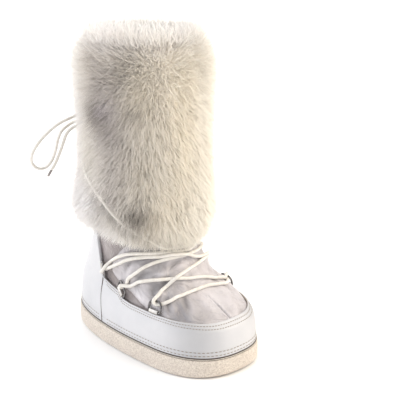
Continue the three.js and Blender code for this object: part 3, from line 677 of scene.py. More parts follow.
def ring_frame(row, side, tilt):
    """Puts points of a ring's own frame on the boot: along its bar, out across the ring, off the leather."""
    place, lift, rise, before, lean, _ = row
    if place is None:
        height = rise * SEAM_HEIGHT
        where = counter_front(height) - before
    else:
        where = place * LENGTH
        height = rand_top(where) + lift
    turn = float(turn_at(where, height, side))
    out = skin_normal(turn, height)
    lean = math.radians(lean)
    along = np.array([0, math.cos(lean), math.sin(lean)])
    along = -side * unit(along - out * (along @ out))
    reach = np.cross(out, along)
    origin = last(turn, height, CLIP_STANDOFF + CLIP_SIZE / 2)
    c, s = math.cos(math.radians(tilt)), math.sin(math.radians(tilt))
    basis = np.stack([along, c * reach + s * out, -s * reach + c * out], -1)
    return lambda points: np.asarray(points) @ basis.T + origin


def ring_path():
    """Rings of the wire, round a rounded oblong with tighter corners at its bar."""
    half, top = (RING_WIDTH - WIRE) / 2, RING_REACH - WIRE
    corners = [(half, top, RING_TOP_CORNER, 8), (-half, top, RING_TOP_CORNER, 8),
               (-half, 0, RING_BAR_CORNER, 5), (half, 0, RING_BAR_CORNER, 5)]
    angle = angles(RING_SIDES)
    rings = []
    for quarter, (x, y, r, stops) in enumerate(corners):
        cx = x - math.copysign(r, x)
        cy = y - r if y > 0 else r
        for i in range(stops + 1):
            a = (quarter + i / stops) * TAU / 4
            w = r + np.cos(angle) * WIRE / 2
            rings.append(np.stack([cx + w * math.cos(a), cy + w * math.sin(a), np.sin(angle) * WIRE / 2], -1))
    return np.array(rings)[:, ::-1]


def clip_strip():
    """A strip folded round the bar: its outside is a rounded square, its inside the bar's hole."""
    flat = CLIP_SIZE / 2 - CLIP_CORNER
    outside = []
    for quarter, (sx, sy) in enumerate([(1, 1), (-1, 1), (-1, -1), (1, -1)]):
        for i in range(CLIP_STOPS):
            a = (quarter + i / (CLIP_STOPS - 1)) * TAU / 4
            outside.append((sx * flat + CLIP_CORNER * math.cos(a), sy * flat + CLIP_CORNER * math.sin(a)))
    outside = np.array(outside)
    hole = unit(outside) * (WIRE / 2 + BAR_CLEAR)
    count = len(outside)
    rings = [np.column_stack([np.full(count, at * CLIP_LENGTH), outside * share]) for at, share in CLIP_ENDS]
    rings += [np.column_stack([np.full(count, at * CLIP_LENGTH), hole]) for at, _ in reversed(CLIP_ENDS)]
    return np.array(rings)


def ring_and_clip(side_name, ring_name):
    """A ring, and the clip that holds its bar."""
    row, side = RINGS[ring_name], SIDES[side_name]
    ending = side_name + "_" + ring_name
    held = ring_frame(row, side, row[-1])(ring_path())
    ride(closed_loft("ring_wire_" + ending, held, RING_METAL), "ring_metal", "ring_" + ending)
    folded = ring_frame(row, side, 0)(clip_strip())
    ride(closed_loft("clip_strip_" + ending, folded, CLIP_METAL), "clip_metal", "clip_" + ending)


for side_name in SIDES:
    for ring_name in RINGS:
        ring_and_clip(side_name, ring_name)

# The lace, one cord through all six rings. Points of its strands over the vamp: turn in degrees, and share
# of the rise from the seam's height to the instep's top
STRANDS = {
    "front_row": [(60, -0.069), (45, -0.009), (28, 0.042), (10, 0.082), (-6, 0.082), (-20, 0.031),
                  (-38, -0.029)],
    "near_front_far_middle": [(60, 0.031), (44, 0.183), (31, 0.294), (18, 0.395), (2, 0.475), (-14, 0.506),
                              (-36, 0.496), (-60, 0.354), (-82, 0.173)],
    "far_front_near_middle": [(-54, -0.009), (-36, 0.062), (-17, 0.173), (0, 0.274), (17, 0.324), (34, 0.344),
                              (58, 0.310), (75, 0.243), (90, 0.112)],
    "near_middle_far_top": [(92, 0.193), (74, 0.395), (56, 0.576), (42, 0.673), (28, 0.722), (14, 0.738),
                            (0, 0.734), (-24, 0.722), (-48, 0.677), (-72, 0.576), (-92, 0.465)],
    "far_middle_near_top": [(-84, 0.233), (-60, 0.395), (-38, 0.506), (-20, 0.576), (-4, 0.667), (20, 0.758),
                            (45, 0.788), (64, 0.744), (79, 0.655), (93, 0.496)],
}
# The two runs from the top rings to the shaft
RUNS = {
    1: [(-104, 0.455), (-88, 0.657), (-66, 0.778), (-42, 0.849), (-18, 0.889), (4, 0.919)],
    -1: [(103, 0.455), (90, 0.677), (74, 0.798), (55, 0.849), (32, 0.859), (10, 0.828), (-10, 0.818)],
}
# Round the shaft: turn in degrees, share of the way up the fur, share of its depth
ROUND = [(26, 0.000, 0.25), (42, 0.045, 0.50), (57, 0.095, 0.84), (70, 0.150, 1.00), (84, 0.215, 1.00),
         (99, 0.270, 0.98), (116, 0.320, 0.92), (134, 0.365, 0.88), (152, 0.410, 0.86), (166, 0.445, 0.88)]

# The strands in their order on the lace: each end's side, ring and way through it, and 1 or -1 for the way
# that the strand is walked
ROUTE = [
    ("near_middle_far_top", ("near", "middle", "under"), ("far", "top", "under"), -1),
    ("far_front_near_middle", ("far", "front", "over"), ("near", "middle", "over"), -1),
    ("front_row", ("near", "front", "under"), ("far", "front", "under"), -1),
    ("near_front_far_middle", ("near", "front", "over"), ("far", "middle", "over"), 1),
    ("far_middle_near_top", ("far", "middle", "under"), ("near", "top", "under"), 1),
]
# A strand's vamp points keep this far from its rings
CLEAR_OF_RING = 12


def strand_end(side_name, ring_name, slot):
    """Points that bring the lace through a ring and over or under its wire."""
    row, side = RINGS[ring_name], SIDES[side_name]
    wire, bend = RING_REACH - WIRE, (WIRE + LACE) / 2 + 0.35
    hand = (-1 if slot == "over" else 1) * (-1 if ring_name == "top" else 1) * side
    lift = bend if slot == "over" else -bend
    local = [(0, wire - 1.0 * bend, 0), (0.14 * LACE * hand, wire - 0.74 * bend, 0.74 * lift),
             (0.30 * LACE * hand, wire - 0.05 * bend, 1.02 * lift)]
    if ring_name == "front" and slot == "under":
        local = [(0.6 * hand, wire - 1.1 * bend, 0), (3.6 * hand, wire - 0.95 * bend, 0.66 * lift),
                 (7.6 * hand, wire - 0.45 * bend, 1.0 * lift)]
    return ring_frame(row, side, row[-1])(local)


def over_vamp(steps):
    """Turn and height along a strand, its corners smoothed."""
    degrees, share = np.array(steps, float).T
    marks = np.linspace(0, len(steps) - 1, 6 * (len(steps) - 1) + 1)
    turn = np.radians(np.interp(marks, range(len(steps)), degrees))
    up = np.interp(marks, range(len(steps)), share)
    kernel = np.array([1, 4, 6, 4, 1]) / 16
    for values in (turn, up):
        for _ in range(2):
            values[2:-2] = np.convolve(values, kernel, "valid")
    height = SEAM_HEIGHT + up * (INSTEP_TOP - SEAM_HEIGHT)
    return turn, height


def strand_points(steps, start, end):
    """A strand from one ring to the next, or to the shaft where it has no end."""
    turn, height = over_vamp(steps)
    on_vamp = last(turn, height, LACE_SEEN / 2 + 0.15 + vamp_relief(turn, height))
    first = strand_end(*start)
    final = strand_end(*end)[::-1] if end else np.zeros((0, 3))
    reach = np.linalg.norm(on_vamp - first[-1], axis=1)
    keep = reach > CLEAR_OF_RING
    if end:
        keep &= np.linalg.norm(on_vamp - final[0], axis=1) > CLEAR_OF_RING
    return np.concatenate([first, on_vamp[keep][::3], final])


def run_points(side, start):
    """From a top ring up to the shaft and round it, through the fur."""
    degrees, up, depth = np.array(ROUND).T
    round_shaft = fur_skin(side * np.radians(degrees), up, depth)
    return np.concatenate([strand_points(RUNS[side], start, None), round_shaft])


# The vamp's pads, folds and seams
# Edge of the padded vamp on the near side, seen from the side: place along the boot and height
PAD_EDGE = np.array([(-47, 68), (-43, 70.5), (-29.3, 73.5), (-18.4, 77.6), (-7.1, 81.8), (3.4, 83.6),
                     (13.3, 85.8), (20.9, 89.7), (27.3, 93.6), (31.7, 98.5), (32.4, 105.2), (28, 112),
                     (20, 121), (14, 128), (5.5, 136), (-4, 146)])
# The edge's point furthest back, and the height at which it turns there
PAD_CORNER, PAD_TURN = 10, 106
# Folds of the vamp: side (1 near, -1 far, 0 middle), points as turn in degrees and height, depth, half width
FOLDS = [
    (1, [(66, 74), (60, 80), (52, 84), (44, 87)], -1.3, 3.0),
    (1, [(72, 82), (64, 90), (52, 95), (38, 98)], -1.0, 3.5),
    (1, [(84, 90), (74, 101), (62, 108), (48, 112)], -1.2, 3.6),
    (1, [(92, 100), (84, 112), (74, 119), (60, 123)], -1.1, 3.4),
    (1, [(40, 76), (30, 83), (20, 87)], -0.9, 3.2),
    (1, [(48, 92), (36, 104), (22, 111)], -0.9, 4.0),
    (1, [(30, 114), (16, 120), (0, 123)], -0.9, 3.6),
    (-1, [(60, 76), (54, 82), (44, 88)], -1.2, 3.2),
    (-1, [(70, 84), (60, 93), (46, 99)], -1.1, 3.6),
    (-1, [(84, 92), (72, 103), (56, 110)], -1.1, 3.6),
    (-1, [(90, 104), (78, 116), (60, 122)], -1.0, 3.4),
    (-1, [(34, 80), (26, 90), (16, 98)], -0.8, 3.6),
    (0, [(10, 98), (2, 104), (-8, 108)], -0.8, 4.0),
]
GUSSET_DEPTH, PAD_CROWN, CRUMPLE_DEPTH = 1.3, 2.3, 0.95
# Heights between which each form fades out, and between which the vamp has any relief
PAD_FADE, CRUMPLE_FADE, TOE_SEAM_FADE, VAMP_SPAN = (118, 150), (128, 140), (72, 88), (62, 170)
GUSSET_TOP = 160


def distance_to(points, x, y):
    """Distance from (x, y) to an open line of points, and the share of the way along it."""
    points = np.asarray(points, float)
    best = np.full(np.shape(x), 1e9)
    share = np.zeros(np.shape(x))
    for i in range(len(points) - 1):
        a, d = points[i], points[i + 1] - points[i]
        t = np.clip(((x - a[0]) * d[0] + (y - a[1]) * d[1]) / (d @ d), 0, 1)
        gap = np.hypot(x - a[0] - t * d[0], y - a[1] - t * d[1])
        closer = gap < best
        best = np.where(closer, gap, best)
        share = np.where(closer, (i + t) / (len(points) - 1), share)
    return best, share


def outside_pad(place, height):
    """How far a point of the side view lies outside the padded vamp, in mm; negative inside."""
    gap, _ = distance_to(PAD_EDGE, place, height)
    low, high = PAD_EDGE[:PAD_CORNER + 1], PAD_EDGE[PAD_CORNER:]
    edge = np.where(height < PAD_TURN, np.interp(height, low[:, 1], low[:, 0]),
                    np.interp(height, high[:, 1], high[:, 0]))
    return np.where(place > edge, gap, -gap)


def gusset_share(turn, height):
    """1 on the gusset behind the pad, 0 elsewhere."""
    place = skin(turn, height)[..., 1]
    beside = np.abs(np.sin(turn)) > 0.25
    return np.where(beside, smoothstep(-0.8, 1.6, outside_pad(place, height)), 0) * (height < GUSSET_TOP)


# Waves of the crumples: heading, length, phase
CRUMPLES = [(rng.uniform(0, TAU), rng.uniform(4.2, 9.5), rng.uniform(0, TAU)) for _ in range(9)]


def crumple(u, v):
    """Crossing soft folds with sharp crests, about -1 to 1."""
    total = 0
    for heading, length, phase in CRUMPLES:
        way = (u * math.cos(heading) + v * math.sin(heading)) / length
        bend = 0.9 * np.sin((v * math.cos(heading) - u * math.sin(heading)) / (2.6 * length) + 2 * phase)
        total = total + (1 - 2 * np.abs(np.sin(0.5 * TAU * 0.32 * way + bend + phase))) * length / 7
    return total / 3.2


def fold_rise(degrees, height):
    """The folds, each a valley with a low ridge along both its sides."""
    rise = 0
    for side, points, depth, half in FOLDS:
        gap, share = distance_to(points, degrees * side if side else degrees, height)
        fade = depth * np.sin(np.pi * np.clip(share, 0.03, 0.97)) ** 0.7
        valley = 1.7 * np.exp(-np.abs(gap / (0.62 * half)) ** 1.4)
        rise = rise + fade * (valley - 0.75 * hump(gap, 1.6 * half, 0.8 * half))
    return rise


def toe_seam_rise(turn, point):
    """The seam up the toe: a groove between two low ridges."""
    across = point[..., 0] + 0.12 * (point[..., 2] - 63)
    fade = (1 - smoothstep(*TOE_SEAM_FADE, point[..., 2])) * (np.cos(turn) > 0)
    return fade * (0.7 * hump(np.abs(across), 3.2, 2.2) - 1.7 * hump(across, 0, 0.9))


def vamp_relief(turn, height):
    """How far the satin stands off the last: pads, gussets, folds, crumples and the toe's seam."""
    turn = (np.asarray(turn, float) + math.pi) % TAU - math.pi
    height = np.asarray(height, float)
    point, degrees = skin(turn, height), np.degrees(turn)
    place = point[..., 1]
    gusset = gusset_share(turn, height)
    inside = np.maximum(-outside_pad(place, height), 0)
    above_rand = height - rand_top(place) - 0.5
    pad = PAD_CROWN * smoothstep(-1, 5, inside) * (0.25 + 0.75 * smoothstep(-1, 11, above_rand))
    rise = (pad * (1 - gusset) - GUSSET_DEPTH * gusset) * (1 - smoothstep(*PAD_FADE, height))
    crumples = smoothstep(-6, 8, inside) * (1 - smoothstep(*CRUMPLE_FADE, height))
    rise = rise + CRUMPLE_DEPTH * crumples * crumple(degrees * 0.95, height)
    rise = rise + fold_rise(degrees, height) + toe_seam_rise(turn, point)
    return np.where((height > VAMP_SPAN[0]) & (height < VAMP_SPAN[1]), rise, 0.0)


def lace_path():
    """The whole lace from behind the shaft, through all six rings, and back."""
    pieces = [run_points(1, ("far", "top", "over"))[::-1]]
    pieces += [strand_points(STRANDS[name], start, end)[::way][1:] for name, start, end, way in ROUTE]
    return np.concatenate(pieces + [run_points(-1, ("near", "top", "over"))[1:]])


# The lace is lifted away from this point, over stretches at least this far back along it, and the lift
# spreads this far to both sides
LIFT_FROM, APART, LIFT_SPREAD = (0, 12.0, 40.0), 24, 4.5


def raise_crossings(path):
    """Where one stretch of the lace passes over another, the later one is lifted clear."""
    n = len(path)
    step = np.linalg.norm(np.diff(path, axis=0), axis=1).mean()
    away = int(APART / step)
    kernel = hump(np.arange(-10, 11) * step, 0, LIFT_SPREAD)
    for _ in range(3):
        lift = np.zeros(n)
        for i in range(away + 1, n):
            close = np.linalg.norm(path[:i - away] - path[i], axis=1).min()
            lift[i] = max(0, LACE_SEEN - close)
        if lift.max() < 0.02:
            break
        spread = np.array([np.max(np.pad(lift, 10)[i:i + 21] * kernel) for i in range(n)])
        path = path + unit(path - LIFT_FROM) * (1.15 * spread)[:, None]
    return path


route = raise_crossings(smooth_path(lace_path(), CORD_STEP))
ride(mesh_object("lace_through_rings", *tube(route, LACE_SEEN / 2, 11), CORD), "lace", "lace_crossings")

# Upper with its lining

# Painted shade and light: how much darker a hollow of the satin is painted, and how much lighter a crest, per
# mm
CREASE_SHADE = 0.26


def upper_turns():
    """Turns of the upper's points, closest together at the toe and along the vamp's sides."""
    spans = [(0, 0.06, 18), (0.07, 0.72, 40), (0.73, 1.92, 110), (1.95, math.pi - 0.04, 26)]
    half = np.concatenate([np.linspace(*span) for span in spans])
    return np.concatenate([-half[:0:-1], half])


def satin_painted_shade(relief, degrees, height):
    """Painted shade and light: darker in the hollows and along the near side, a little lighter over the toe.
    """
    soft = relief
    for _ in range(10):
        soft = (soft + np.roll(soft, 1, 1) + np.roll(soft, -1, 1)) / 3
        soft[1:-1] = (soft[1:-1] + soft[:-2] + soft[2:]) / 3
    tone = 1 + CREASE_SHADE * (relief - soft) + 0.06 * hump(degrees, -8, 24) - 0.38 * hump(degrees, 52, 30)
    return np.clip(tone - 0.14 * hump(degrees, 30, 16) * hump(height, 82, 9), 0.45, 1.12)


def upper_piece():
    """Vamp and shaft of satin, the gussets, and the lining inside."""
    turns = upper_turns()
    steps = [(FEATHER, 60, 8), (60, 138, 1.35), (140, SHAFT_TOP, 14)]
    heights = np.concatenate([np.arange(*step) for step in steps] + [[SHAFT_TOP - 2, SHAFT_TOP]])
    steps = [(370, 140, -20), (136, FEATHER, -12)]
    inner_heights = np.concatenate([[SHAFT_TOP]] + [np.arange(*step) for step in steps] + [[FEATHER]])
    T, H = np.meshgrid(turns, heights)
    T2, H2 = np.meshgrid(turns, inner_heights)
    relief = vamp_relief(T, H)
    outer, inner = last(T, H, relief), last(T2, H2, -WALL)
    outer[0, :, 2], outer[-1, :, 2] = FEATHER, SHAFT_TOP
    inner[0, :, 2], inner[-1, :, 2] = SHAFT_TOP, FEATHER
    rings = np.concatenate([outer, inner])
    rows, cols = rings.shape[:2]
    middle_t = np.broadcast_to(turns + np.diff(turns, append=turns[0] + TAU) / 2, (len(heights) - 1, cols))
    middle_h = np.broadcast_to((heights[:-1, None] + heights[1:, None]) / 2, middle_t.shape)
    which = np.full((rows, cols), 2)
    # Faces on the gusset take the darker satin, which is painted shade.
    which[:len(heights) - 1] = np.where(gusset_share(middle_t, middle_h) > 0.5, 1, 0)
    piece = closed_loft("upper_skin", rings, [SATIN, GUSSET_SHADE, LINING], face_material=which.ravel())
    # The satin's tone is painted shade and light.
    tone = np.concatenate([satin_painted_shade(relief, np.degrees(T), H), np.ones_like(T2)])
    paint(piece, grey(tone))
    return piece


ride(upper_piece(), "satin", "upper")

# Rand and counter, with their stitches
# The leather's section: how far up from its low edge, or down from its top edge, and how far out of its face
STITCH_DEEP, BULGE = -0.32, 0.35
LOW_STITCHES, TOP_STITCHES = (2.6, 6.9), (2.6, 5.4)
LOW_EDGE = [(0, -0.7), (0.4, -0.15), (1.0, 0), (2.0, 0), (2.6, STITCH_DEEP), (3.2, 0), (4.6, 0.08), (6.3, 0),
            (6.9, STITCH_DEEP), (7.5, 0)]
TOP_EDGE = [(8.0, 0), (6.0, 0), (5.4, STITCH_DEEP), (4.8, 0), (3.2, 0), (2.6, STITCH_DEEP), (2.0, 0.02),
            (1.2, 0.05), (0.55, -0.1), (0.15, -0.5), (0.0, -1.0)]
# Rows of the section along the leather's inside, and the faces of its cut edge, counted from there
INSIDE_ROWS, CUT_FACES = 5, [2, 3, 4, 5]
# Rounds in which a band's top edge settles on its line
TOP_ROUNDS = 30


def edge_strips(rings, inside):
    """Triangles that close both ends of a band, between the points of its inside and those of its outside."""
    rows, count = rings.shape[:2]
    height = rings[0][:, 2]
    low, high, strips = 0, count - 1, []
    while low < inside - 1 or high > inside:
        if high > inside and (low == inside - 1 or height[high - 1] <= height[low + 1]):
            strips.append((low, high - 1, high))
            high -= 1
        else:
            strips.append((high, low, low + 1))
            low += 1
    strips = np.array(strips)
    return np.concatenate([strips, strips[:, ::-1] + (rows - 1) * count])


def band_profile(top, wrap_heel):
    """Height and offset of a band's section: up the outside, round the top edge, and down the inside."""
    bottom, full = FEATHER + 0 * top, GAP + OVERLAY
    profile = [(bottom + up, full + off) for up, off in LOW_EDGE]
    lowest, highest = FEATHER + LOW_EDGE[-1][0], top - TOP_EDGE[0][0]
    shares = np.linspace(0, 1, 12)[1:-1]
    if wrap_heel:
        corner = (SEAM_HEIGHT - lowest) / (COUNTER_HEIGHT - TOP_EDGE[0][0] - lowest)
        shares = np.sort(np.concatenate([shares, [corner - 0.01, corner, corner + 0.01]]))
    profile += [(lowest + (highest - lowest) * v, full + BULGE * math.sin(math.pi * v)) for v in shares]
    profile += [(top - down, full + off) for down, off in TOP_EDGE]
    middle = SEAM_HEIGHT + 0 * top if wrap_heel else 0.5 * (top + FEATHER)
    return profile + [(top, GAP + 1.0), (top - 0.3, GAP + 0.2), (top - 2, GAP), (middle, GAP), (bottom, GAP)]


def band_piece(name, turn_ends, top_of, cols, wrap_heel):
    """A band of leather between the feather line and its top edge, and what its rows of stitches need."""
    s = np.linspace(-1, 1, cols)
    top = np.full(cols, float(RAND_SIDE_HEIGHT))
    for _ in range(TOP_ROUNDS):
        turn = band_turn(s, top, turn_ends, wrap_heel)
        top = 0.5 * top + 0.5 * top_of(skin(turn, top)[:, 1])
    rings = []
    for height, offset in band_profile(top, wrap_heel):
        point = last(band_turn(s, height, turn_ends, wrap_heel), height, offset)
        point[:, 2] = np.where(height <= FEATHER + 1e-6, FEATHER, point[:, 2])
        rings.append(point)
    rings = np.array(rings).transpose(1, 0, 2)[:, ::-1]
    count = rings.shape[1]
    faces = [sheet_faces(cols, count, False, True), edge_strips(rings, INSIDE_ROWS)]
    cut = np.isin(np.tile(np.arange(count), cols - 1), CUT_FACES)
    face_material = np.concatenate([cut.astype(int), np.zeros(len(faces[1]), int)])
    piece = mesh_object(name, rings, faces, [LEATHER, EDGE], face_material=face_material)
    # The leather's tone is painted shade, darker along the sides and at the heel.
    paint(piece, leather_painted_shade(band_turn(np.repeat(s, count), 65.0, turn_ends, wrap_heel)))
    return piece, (s, top, turn_ends, wrap_heel)


def leather_painted_shade(turn):
    """Painted shade: a little darker along the sides and at the heel."""
    aside = np.abs(signed_degrees(turn))
    return grey(0.96 - 0.20 * hump(aside, 46, 26) - 0.06 * smoothstep(100, 140, aside))


def band_turn(s, height, turn_ends, wrap_heel):
    """Turn of the points of a band: s runs from -1 to 1 between its ends, round the toe or the heel."""
    end = turn_ends(height)
    if wrap_heel:
        return math.pi + s * (math.pi - end)
    return s * end


def rand_end(height):
    return turn_at(seam_at(height) - SEAM_GAP / 2, height, 1)


def counter_end(height):
    return turn_at(counter_front(height), height, 1)


rand, rand_band = band_piece("rand_leather", rand_end, rand_top, 420, False)
ride(rand, "leather", "rand")
counter, counter_band = band_piece(
    "counter_leather", counter_end, lambda place: 0 * place + COUNTER_HEIGHT, 220, True)
ride(counter, "leather", "counter")

SEAM_SHADE_RADIUS = 0.85


def side_seam(name, side):
    """A thin dark tube in the seam between rand and counter: painted shade for the seam's gap."""
    height = np.linspace(FEATHER + 0.8, SEAM_HEIGHT - 1.5, 40)
    turn = side * turn_at(seam_at(height), height, 1)
    path = last(turn, height, GAP + OVERLAY - 0.25)
    return mesh_object(name, *tube(path, SEAM_SHADE_RADIUS, 8), SEAM_SHADE)


for side_name, side in SIDES.items():
    ride(side_seam("seam_shade_line_" + side_name, side), "leather")

# Pitch, length and thickness of the stitches along the two edges
TOP_THREAD, LOW_THREAD = (3.7, 2.3, 0.46), (5.2, 3.1, 0.54)
# A stitch: share of its length, share of its thickness
STITCH = [(-0.5, 0.45), (-0.36, 1), (0.36, 1), (0.5, 0.45)]
# How deep a stitch's middle lies under the leather's face, and points of a row left free at its ends
STITCH_SUNK, ROW_SKIP = 0.12, 4


def stitches(name, rows, pitch, long, thick):
    """Rows of thread stitches along the lines given as (points, normals)."""
    angle = angles(5)
    one = [np.column_stack([np.full(5, at * long), fat * thick * np.cos(angle), fat * thick * np.sin(angle)])
           for at, fat in STITCH]
    points, faces = capped(one)
    parts = []
    for line, normals in rows:
        way = way_along(line)
        marks = np.arange(pitch / 2, way[-1] - pitch / 2, pitch)
        place = at_marks(marks, way, line)
        out = unit(at_marks(marks, way, normals))
        ahead = unit(at_marks(marks + 0.5, way, line) - place)
        frames = np.stack([ahead, np.cross(out, ahead), out], 1)
        parts += [(at + points @ frame, faces) for at, frame in zip(place, frames)]
    return mesh_object(name, *merge(parts), THREAD_AND_SHADE)


def edge_row(band, from_top=None, from_bottom=None):
    """Points and normals along one of a band's edges."""
    s, top, ends, wrap_heel = band
    height = FEATHER + from_bottom + 0 * top if from_top is None else top - from_top
    turn = band_turn(s, height, ends, wrap_heel)
    points = last(turn, height, GAP + OVERLAY - STITCH_SUNK)
    return points[ROW_SKIP:-ROW_SKIP], skin_normal(turn, height)[ROW_SKIP:-ROW_SKIP]


rows = [edge_row(rand_band, from_top=down) for down in TOP_STITCHES]
ride(stitches("rand_top_stitches", rows, *TOP_THREAD), "leather")
for name, band in (("rand_low_stitches", rand_band), ("counter_stitches", counter_band)):
    rows = [edge_row(band, from_bottom=up) for up in LOW_STITCHES]
    ride(stitches(name, rows, *LOW_THREAD), "leather")

# Sole: crepe outsole, midsole and insole
SOLE_ROUND, TOP_ROUND, WELL = 2.4, 1, SOLE_MARGIN - TREAD_RIM
# The midsole's edge: how far in from its margin, how far up; and the faces that lie in its two grooves, which
# are painted shade
MIDSOLE_EDGE = [(0.6, 0), (1.2, 0.1), (1.2, 0.75), (0.2, 0.8), (0, 0.95), (0, 1.35), (0.2, 1.5), (1.2, 1.55),
                (1.2, 2.2)]
GROOVE_FACES = [1, 2, 3, 7, 8, 9]
# The insole's section: share of its outline, height
INSOLE_SECTION = [(0.2, 0), (1, 0), (1, 0.6), (1, INSOLE - 1.4), (0.985, INSOLE - 0.5), (0.95, INSOLE - 0.1),
                  (0.85, INSOLE - 0.3), (0.6, INSOLE - 0.8), (0.3, INSOLE - 0.9)]


def spring(y):
    """How far the sole rises towards the toe."""
    share = np.maximum(0, (TOE_SPRING_LENGTH - LENGTH / 2 - y) / TOE_SPRING_LENGTH)
    return TOE_SPRING * share * share


def sole_ring(turns, margin, height, sprung=True):
    """A line round the sole; sprung ones rise at the toe."""
    point = outline(turns, margin, height)
    if sprung:
        point[:, 2] += spring(point[:, 1]) * min(1, 1.15 * (SOLE_HEIGHT - height) / SOLE_HEIGHT)
    return point


def outsole_piece():
    """The crepe: a rim round a well with tread bars, rounded edges, and a side that waves a little."""
    turns = all_round(360)
    arc = np.linspace(0, math.pi / 2, 7)
    low, high = RIM_RISE + SOLE_ROUND, SOLE_HEIGHT - TOP_ROUND
    profile = [(WELL, RIM_RISE + 0.5), (WELL + 0.5, RIM_RISE)]
    profile += [(SOLE_MARGIN - SOLE_ROUND * (1 - math.sin(a)), low - SOLE_ROUND * math.cos(a)) for a in arc]
    profile += [(SOLE_MARGIN + 0.25 * math.sin(math.pi * v), low + v * (high - low))
                for v in np.linspace(0, 1, 10)[1:]]
    flat = [(SOLE_MARGIN - TOP_ROUND * (1 - math.cos(a)), high + TOP_ROUND * math.sin(a)) for a in arc[1:]]
    flat.append((-2, SOLE_HEIGHT))
    rings = [sole_ring(turns, WELL, GROOVE_DEPTH + TOE_SPRING, False)]
    rings += [sole_ring(turns, *row) for row in profile] + [sole_ring(turns, *row, False) for row in flat]
    rings = np.array(rings)
    side = rings[3:-1]
    wobble = 0.08 * np.sin(turns * 57 + 3 * np.sin(turns * 11)) + 0.06 * np.sin(turns * 131)
    side += unit(side * [1, 0.6, 0]) * wobble[None, :, None]
    bars = int((LENGTH / 2 - TREAD_RIM) // LUG_PITCH)
    places = [i * LUG_PITCH for i in range(-bars, bars + 1)]
    lugs = [lug(y) for y in places if abs(y - ARCH_CENTRE) >= ARCH_LENGTH / 2]
    return mesh_object("outsole_crepe", *merge([capped(rings)] + lugs), CREPE)


def lug(y):
    """A tread bar across the sole, its corners rounded, its ends on the well's wall."""
    edge = outline(all_round(720), WELL + 0.6, 0)
    half, root = LUG_WIDTH / 2, GROOVE_DEPTH + TOE_SPRING + LUG_ROOT
    section = [(-half, 0.8), (-half + 0.25, 0.25), (-half + 0.8, 0), (half - 0.8, 0), (half - 0.25, 0.25),
               (half, 0.8), (half, root), (-half, root)]
    rows = []
    for share in np.linspace(-1, 1, 25):
        ring = []
        for dy, z in section:
            near = edge[np.abs(edge[:, 1] - y - dy) < 3]
            width = np.abs(near[:, 0]).max() if len(near) else 1.0
            ring.append((share * width, y + dy, z + spring(y)))
        rows.append(ring)
    return capped(np.array(rows)[:, ::-1])


def midsole_piece():
    """The welt's edge: a pale band between two grooves that are painted dark, for their shade."""
    turns = all_round(300)
    low = SOLE_HEIGHT + GAP
    edge = [(MIDSOLE_MARGIN - inset, low + up) for inset, up in MIDSOLE_EDGE]
    profile = [(0, low)] + edge + [(0, low + MIDSOLE)]
    rings = np.array([sole_ring(turns, *row, False) for row in profile])
    points, faces = capped(rings)
    face_count = sum(len(f) for f in faces)
    # The faces in the two grooves take the near-black painted shade.
    dark = np.isin(np.arange(face_count) // len(turns), GROOVE_FACES)
    return mesh_object("midsole_welt", points, faces, [WELT, SEAM_SHADE], face_material=dark.astype(int))


def insole_piece():
    """A plush insole that is a little hollow in the middle."""
    turns = all_round(200)
    rings = []
    for share, height in INSOLE_SECTION:
        point = last(turns, FEATHER + height, -WALL - 2 * GAP)
        point[:, :2] *= share
        point[:, 2] = FEATHER + height
        rings.append(point)
    return mesh_object("insole_plush", *capped(rings), LINING)


ride(outsole_piece(), "crepe", "outsole")
ride(midsole_piece(), "welt_leather", "midsole")
ride(insole_piece(), "lining", "insole")

# Fur
CREAM, GOLD, PINK = (1.0, 0.955, 0.885), (1.0, 0.915, 0.775), (1.0, 0.968, 0.955)
GREY, LILAC, TAUPE, OLIVE = (0.47, 0.42, 0.405), (0.76, 0.70, 0.73), (0.20, 0.165, 0.14), (0.80, 0.735, 0.62)
# Patches of colour, some of them painted light and shade: turn in degrees, height, the spread of each,
# strength, colour
PATCHES_AND_PAINTED_LIGHT = [
    # The GREY patches on the near side (positive turns) are grey fur, partly painted shade.
    (76, 343, 24, 38, 0.62, GREY), (70, 245, 18, 54, 0.48, GREY), (74, 292, 17, 24, 0.62, GREY),
    (43, 330, 17, 50, 0.62, OLIVE), (40, 190, 12, 26, 0.6, OLIVE), (43, 240, 15, 44, 0.52, OLIVE),
    (10, 290, 19, 95, 0.75, GOLD), (22, 200, 14, 40, 0.35, GOLD), (-35, 250, 24, 110, 0.35, GOLD),
    (58, 370, 9, 13, 0.34, TAUPE), (62, 352, 8, 9, 0.22, TAUPE), (87, 312, 11, 15, 0.85, TAUPE),
    (51, 314, 5, 6, 0.6, TAUPE), (50, 189, 10, 14, 0.85, TAUPE), (74, 207, 6, 12, 0.5, GREY),
    (97, 372, 8, 9, 0.5, GREY), (77, 318, 7, 9, 0.7, LILAC), (84, 386, 8, 8, 0.6, PINK),
    # Painted light: the first two PINK patches here lighten the fur low at the back of the near side, where it
    # is in shade.
    (101, 190, 20, 32, 1.0, PINK), (128, 196, 26, 42, 1.0, PINK), (128, 280, 15, 90, 0.6, PINK),
    (-8, 388, 30, 16, 0.7, CREAM), (86, 160, 26, 13, 0.9, PINK),
    (122, 300, 15, 90, 0.75, PINK), (56, 146, 26, 9, 0.6, CREAM),
    (-150, 300, 24, 40, 0.60, GREY), (170, 220, 26, 26, 0.60, GREY), (-110, 210, 20, 34, 0.60, GREY),
    (-80, 330, 24, 36, 0.45, LILAC), (-130, 250, 20, 60, 0.35, GOLD), (158, 330, 18, 30, 0.5, OLIVE),
    (-60, 180, 14, 18, 0.45, OLIVE), (-145, 180, 16, 16, 0.5, TAUPE), (140, 250, 14, 24, 0.4, GREY),
]


